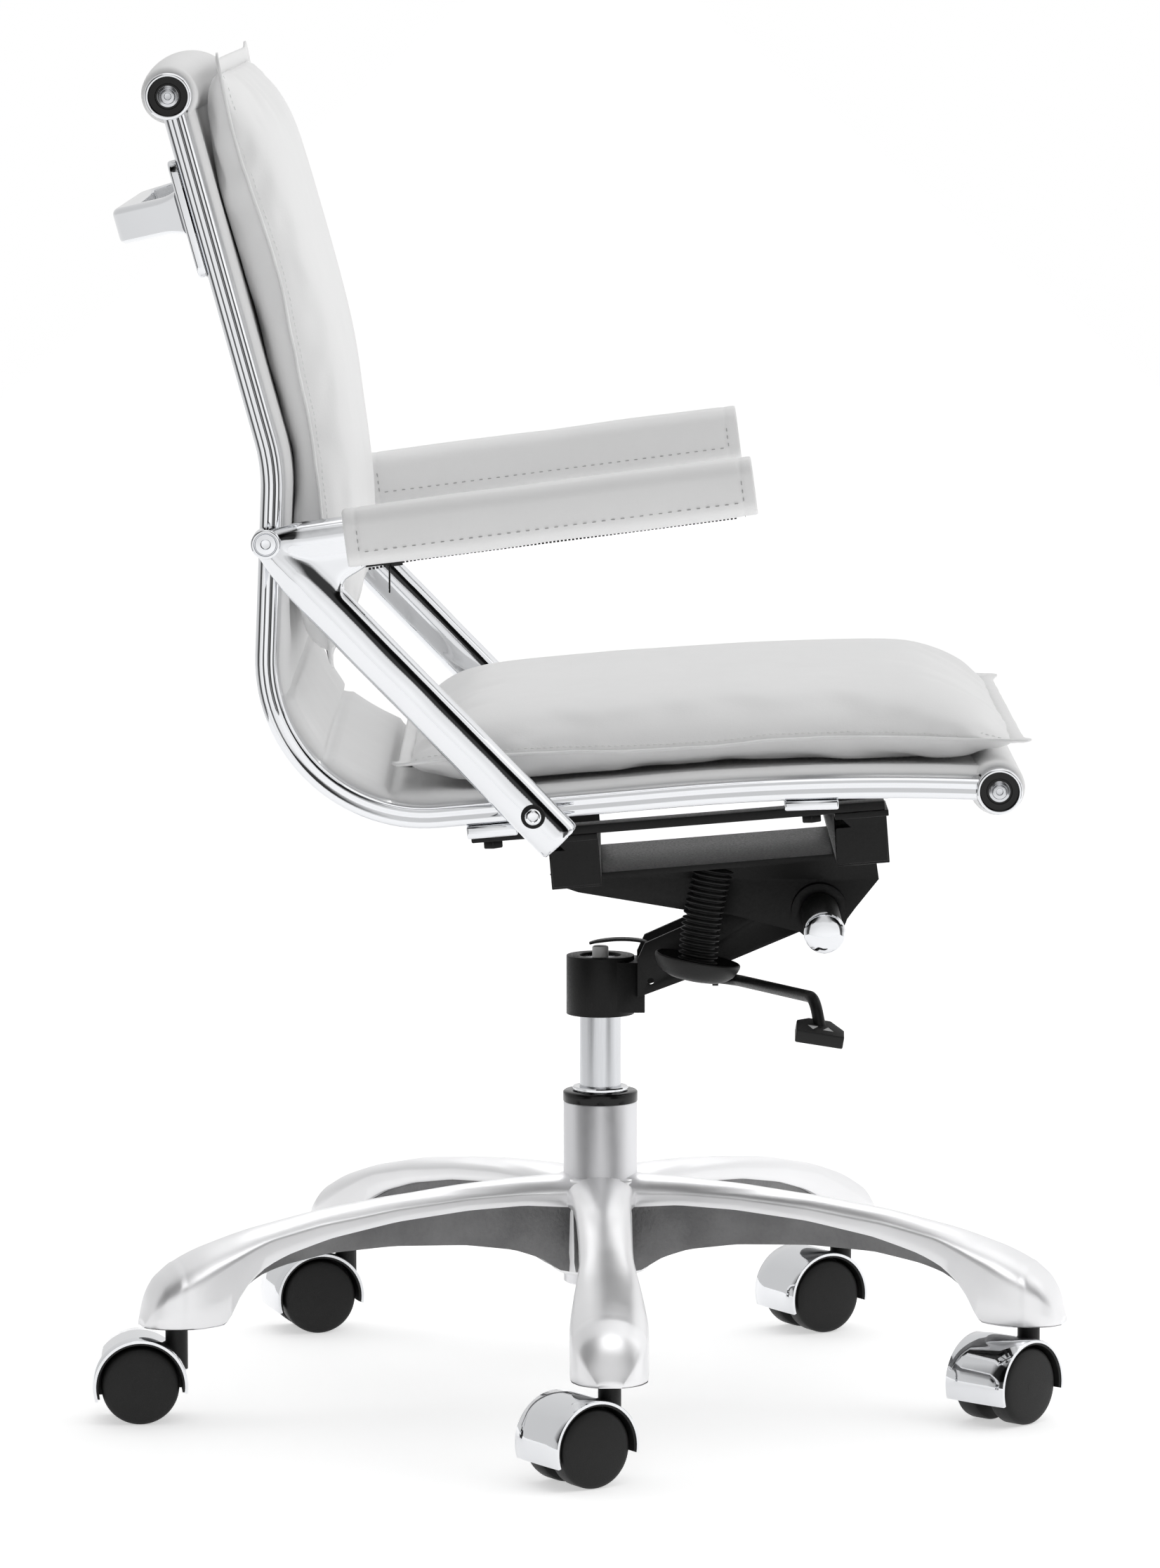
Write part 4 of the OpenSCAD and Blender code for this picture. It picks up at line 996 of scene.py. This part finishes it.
CASTERS = {"near": (0, 33), "front_right": (1, 47), "front_left": (2, 31), "rear_left": (3, 17),
           "rear_right": (4, 5)}
CASTER_R = 0.300
TRAIL = 0.025
AXLE_Z = 0.026
WHEEL_W = 17.6
WHEEL = ((4.06, 0), (23.5, 0), (25.2, 0.7), (26, 2.2), (26, WHEEL_W - 4.5), (25.6, WHEEL_W - 2.9),
         (24.6, WHEEL_W - 1.8), (23.0, WHEEL_W - 1.2), (20.6, WHEEL_W - 0.8), (14, WHEEL_W - 0.3),
         (8, WHEEL_W - 0.1), (4.06, WHEEL_W))
AXLE_PLUG = ((0, WHEEL_W - 1), (4.2, WHEEL_W - 1), (4.2, WHEEL_W + 0.05), (0, WHEEL_W + 0.1))
HOOD_R = 31.65 * MM
HOOD_HALF = 25
HOOD_SECTION = ((-HOOD_HALF, 0.3), (0.4 - HOOD_HALF, 0), (-HOOD_HALF / 2, -0.25), (0, -0.35), (HOOD_HALF / 2, -0.25),
                (HOOD_HALF - 0.4, 0), (HOOD_HALF, 0.3), (HOOD_HALF, 2), (-HOOD_HALF, 2))


def caster_frame(index, yaw):
    """Local X trails behind the stem, local Y runs along the axle."""
    turn = radians(LEG_PHASE + 72 * index)
    return (Matrix.Translation((CASTER_R * cos(turn), CASTER_R * sin(turn), 0))
            @ spin(90 + yaw, "Z"))


def make_hood(name, m):
    """Chromed band bent over the wheels, open round the neck, with rolled edges."""
    start = asin(10 / 32)
    finish = pi + asin(5 / 32)
    rings = []
    for t in (-start + (start + finish) * k / 44 for k in range(45)):
        rings.append([m @ Vector((TRAIL + (HOOD_R - d * MM) * cos(t), y * MM,
                                  AXLE_Z + (HOOD_R - d * MM) * sin(t))) for y, d in HOOD_SECTION])
    bm = bmesh.new()
    loft(bm, rings)
    part(bm, "caster_%s_hood_chrome" % name, "chrome", 45, "caster_" + name, "caster_%s_hood" % name)


def make_wheel(name, letter, m):
    """Black wheel, closed by a flush plug over its axle's end."""
    side = 1 if letter == "a" else -1
    axle = m @ Matrix.Translation((TRAIL, side * 6.6 * MM, AXLE_Z)) @ spin(-90 * side, "X")
    bm = bmesh.new()
    lathe(bm, WHEEL, axle, 80)
    lathe(bm, AXLE_PLUG, axle, 32)
    node = "caster_%s_wheel_%s" % (name, letter)
    part(bm, node + "_disc", "black_plastic", 38, node, node)


def make_casters():
    for name, where in CASTERS.items():
        m = caster_frame(*where)
        make_hood(name, m)
        for letter in "ab":
            make_wheel(name, letter, m)


# ---------- mechanism

BOOT_LEAN = 10
BOOT_LEN = 63
BOOT_FRAME = Matrix.Translation(mm(-58, -76, 366.3)) @ spin(BOOT_LEAN, "X")
PADDLE_FRAME = Matrix.Translation(mm(-207, -142.3, 277)) @ spin(9, "X") @ spin(-10, "Y")


def make_boot():
    """Ribbed rubber boot over the tension spring, with a slight bow."""
    rings = []
    ribs, per_rib = 16, 8
    total = ribs * per_rib
    for k in range(total + 1):
        s = k / total
        wave = cos(2 * pi * k / per_rib)
        r = (12.1 + 1.35 * copysign(abs(wave) ** 0.6, wave)) * MM
        bow = 1.8 * MM * sin(pi * s)
        z = (-BOOT_LEN + s * (BOOT_LEN - 0.6)) * MM
        rings.append([BOOT_FRAME @ Vector((r * a, bow + r * b, z)) for a, b in circle(40)])
    bm = bmesh.new()
    loft(bm, rings)
    piece = link_mesh("spring_boot_ribs", bm, "black_plastic")
    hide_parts("spring_boot")
    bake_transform(piece)


def make_knob():
    """Dished tension knob with six spokes."""
    m = BOOT_FRAME @ Matrix.Translation(mm(0, 0, -BOOT_LEN - 0.4))
    bm = bmesh.new()
    lathe(bm, [(0, -13), (12, -13), (17, -12.2), (22, -10), (25.8, -6.8), (28, -3), (28.9, -0.5), (29, 1.2),
               (28.4, 2), (27.4, 1.9), (26.6, 1.0), (24.5, -2.8), (21, -6.6), (17, -8.4), (13, -9), (10, -8),
               (9.2, -5.5), (9, -3), (0, -2.9)], m, 96)
    for k in range(6):
        add_box(bm, (8.5, -1.3, -8.4), (21.5, 1.3, -3.4), m @ spin(60 * k + 20, "Z"))
    part(bm, "tension_knob_dish", "black_plastic", 40, "knob", "tension_knob")


def tube_rings(points, radius, sides=20):
    """Rings round a smooth line of points."""
    rings = []
    for k, p in enumerate(points):
        ahead = points[min(len(points) - 1, k + 1)] - points[max(0, k - 1)]
        turn = ahead.to_track_quat("Z", "X").to_matrix()
        rings.append([p + turn @ Vector((radius * a, radius * b, 0)) for a, b in circle(sides)])
    return rings


def rounded_route(corners, bend):
    """A line through the corners, each turned in a curve that starts bend away from it."""
    points = [corners[0]]
    for a, b, c in zip(corners, corners[1:], corners[2:]):
        into, out = b - (b - a).normalized() * bend, b + (c - b).normalized() * bend
        points += [into * (1 - t) ** 2 + b * 2 * t * (1 - t) + out * t * t for t in (k / 10 for k in range(11))]
    return points + [corners[-1]]


def make_lever():
    """Bent rod with a chamfered paddle that carries two plain arrow marks."""
    corners = [mm(-4, -66, 286.5), mm(-27, -92, 286.5), mm(-200, -139, 299), mm(-203, -143, 279)]
    rod = bmesh.new()
    loft(rod, tube_rings(rounded_route(corners, 10 * MM), 3.9 * MM))
    pin = Matrix.Translation(corners[1]) @ spin(-90, "X")
    lathe(rod, [(0, 0), (2, 0), (2, 17.2), (1.7, 17.5), (0, 17.5)], pin, 24)
    part(rod, "lever_rod_bent", "black_steel", 50, "lever", "lever_rod")
    bm = bmesh.new()
    add_plate(bm, ((-15, -15.7), (-15, 15.7), (7, 15.7), (15, 8), (15, -7), (-1, -15.7)), -4.25, 4.25, PADDLE_FRAME)
    paddle = bevelled(link_mesh("lever_paddle_moulded", bm, "black_plastic"), 1.0, 3)
    placed(paddle, "lever", "black_plastic", "lever_paddle")
    marks = bmesh.new()
    for y, way in ((-5, 1), (5, -1)):
        add_plate(marks, ((-4 - 3 * way, y - 3.4), (-4 - 3 * way, y + 3.4), (-4 + 4 * way, y)), 4.15, 4.37,
                  PADDLE_FRAME)
    part(marks, "lever_paddle_arrows", "mark", 30, "lever")


def make_tongue():
    """Curved spring-steel tongue from the lever up over the release button."""
    spine = ((-60, 286.5), (-46, 286.5), (-38.6, 287), (-36.2, 291), (-36, 298), (-35.4, 304), (-31, 308.6),
             (-22, 310.4), (-10, 310.6), (2, 309.2), (7.5, 307.8))
    line = spline([mm(0, y, z) for y, z in spine], 44)
    rings = []
    for k, p in enumerate(line):
        ahead = (line[min(len(line) - 1, k + 1)] - line[max(0, k - 1)]).normalized()
        up = Vector((1, 0, 0)).cross(ahead)
        half = (6 - 3.2 * max(0, (k / (len(line) - 1) - 0.86) / 0.14) ** 2) * MM
        rings.append([p + Vector((x * half, 0, 0)) + up * h * MM
                      for x, h in ((-1, -0.7), (1, -0.7), (1, 0.7), (-1, 0.7))])
    bm = bmesh.new()
    loft(bm, rings)
    add_box(bm, (-12, -70, 285), (6, -58, 288))
    strip = bevelled(link_mesh("release_tongue_strip", bm, "black_steel"), 0.3, 2, 40)
    placed(strip, "lever", "black_steel", "release_tongue")


def make_caps():
    """Domed chrome caps on the pivot tube."""
    bm = bmesh.new()
    low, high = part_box("pivot_tube")
    for side in SIDES:
        lathe(bm, [(0, -6), (9.9, -6), (9.9, 0), (13.4, 0), (13.8, 0.5), (13.7, 2.2), (12.6, 3.6), (9.5, 4.5),
                   (5, 4.9), (0, 5.0)], outward(side, high.x, (low.y + high.y) / 2, (low.z + high.z) / 2))
    part(bm, "pivot_caps_domed", "chrome", 50, "mechanism", "pivot_caps")


# name, look, sharp angle, body, CAD node, turns, (radius, height) points
COLUMN = (
    ("column_outer_tube_chrome", "satin", 40, "base", "column_outer_tube", 96,
     ((0, 76), (24, 76), (25, 77), (25, 199), (24.4, 200), (21, 200), (21, 80), (0, 80))),
    ("column_collar_gloss", "black_gloss", 50, "base", "column_collar", 96,
     ((17, 200.1), (25.1, 200.1), (25.4, 200.6), (25.4, 206), (25.2, 206.8), (24.4, 207.4), (19.2, 207.5),
      (17, 207.4))),
    ("column_guide_bush_chrome", "chrome", 40, "base", "column_guide_bush", 96,
     ((14.06, 156), (20.8, 156), (20.8, 199.9), (16.9, 199.9), (16.9, 207.6), (18.4, 207.7), (19, 208.2),
      (19, 209.6), (18.3, 210.4), (15, 210.5), (14.06, 210))),
    ("gas_piston_ground", "steel", 40, "piston", "gas_piston", 96,
     ((0, 130), (13, 130), (14, 131), (14, 298), (13.2, 298.5), (5.6, 298.5), (5.6, 279), (0, 279))),
    ("release_button_grey", "grey_plastic", 40, "button", "release_button", 48,
     ((0, 288), (5.5, 288), (5.5, 305.2), (5.1, 305.9), (4.2, 306.2), (0, 306.2))),
)


def make_column():
    for name, look, angle, body, node, turns, profile in COLUMN:
        bm = bmesh.new()
        lathe(bm, profile, ORIGIN, turns)
        part(bm, name, look, angle, body, node)


def make_zips():
    """Zip teeth on their tape under each sleeve, with the stop and the slider at the back end."""
    bm = bmesh.new()
    y = -18.5
    for side in SIDES:
        m = tilted(side * ARM_X, *SLEEVE_BACK)
        add_box(bm, (-3.2, y - 0.25, 30), (3.2, y + 0.6, 250), m)
        for k in range(98):
            t = 12 + 2.44 * k
            x = 0.5 if k % 2 else -0.5
            sag = y - 2.2 * exp(-((t - 12) / 18) ** 2)
            add_box(bm, (x - 1.3, sag - 1.5, t), (x + 1.3, sag - 0.2, t + 1.5), m)
        add_box(bm, (-3.2, y - 1.6, 2), (3.2, y + 0.6, 27), m)
        add_box(bm, (-3.4, y - 3.2, 27), (3.4, y - 0.2, 34), m)
    part(bm, "zips_teeth", "black_plastic", 30, "seat", "zips")


def make_zip_pull(side):
    """Wire loop that hangs from the slider."""
    name = SIDES[side]
    low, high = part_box("zip_pull_" + name)
    x, y = (low.x + high.x) / 2, (low.y + high.y) / 2
    top, bottom = high.z / MM - 1.2, low.z / MM
    half = ((1, top), (1.1, bottom + 4), (0.8, bottom + 1))
    loop = [(-w, z) for w, z in half] + [(0, bottom + 0.6)] + list(reversed(half)) + [(0, top + 0.6)]
    line = spline([(x + 1.5 * MM * w, y, z * MM) for w, z in loop + loop[:1]], 60)
    bm = bmesh.new()
    loft(bm, tube_rings(line, 0.55 * MM, 10))
    part(bm, "zip_pull_%s_wire" % name, "black_steel", None, "pull_" + name, "zip_pull_" + name)


CAD_LOOKS = {"cross_tubes": "chrome", "pivot_tube": "black_steel"}
SOFTENED = {"tilt_bracket": 0.8, "cross_straps": 0.9, "mount_bars": 1.0, "rail_feet": 1.2, "mount_bolts": 0.7,
            "column_hub": 1.3, "lower_arm": 0.8}


def finish_cad_nodes():
    for node, width in SOFTENED.items():
        refined(node, "chrome" if node == "rail_feet" else "black_steel", width)
    for node, look in {**CAD_LOOKS, **{"caster_%s_body" % name: "black_plastic" for name in CASTERS}}.items():
        data = NODES[node].data
        data.materials.clear()
        data.materials.append(MATS[look])


# ---------- build


def make_lights():
    """Two soft lights over the chair, and two shadowless ones that light only the star base."""
    area_light("key", (-1.2, -3.2, 2.6), (0, 0, 0.5), 2.4, 17)
    area_light("top", (0, -0.4, 3.6), (0, 0, 0.5), 3.0, 15)
    lit = bpy.data.collections.new("lit_by_base_fill")
    lit.objects.link(bpy.data.objects["base_star_casting"])
    for name, place, size, power in (("base_fill", (-1.15, -0.15, 1.25), 0.7, 3.4),
                                     ("base_back", (0.85, 0, 1.15), 0.9, 7.0)):
        fill = area_light(name, place, (-0.15, 0, 0.12), size, power)
        fill.data.use_shadow = False
        fill.light_linking.receiver_collection = lit


def main():
    make_camera()
    make_world()
    make_floor()
    make_rail(-1)
    make_rail(1)
    make_ends()
    make_sling()
    make_pad("back_pad", BACK_PAD, (0, -cos(0.2), sin(0.2)))
    make_pad("seat_pad", SEAT_PAD, (0, 0, 1))
    for side in SIDES:
        make_arm(side)
        make_sleeve(side)
        make_zip_pull(side)
    make_arm_bolts()
    make_zips()
    make_handle()
    make_base()
    make_column()
    make_casters()
    make_boot()
    make_knob()
    make_lever()
    make_tongue()
    make_caps()
    finish_cad_nodes()
    make_lights()


main()
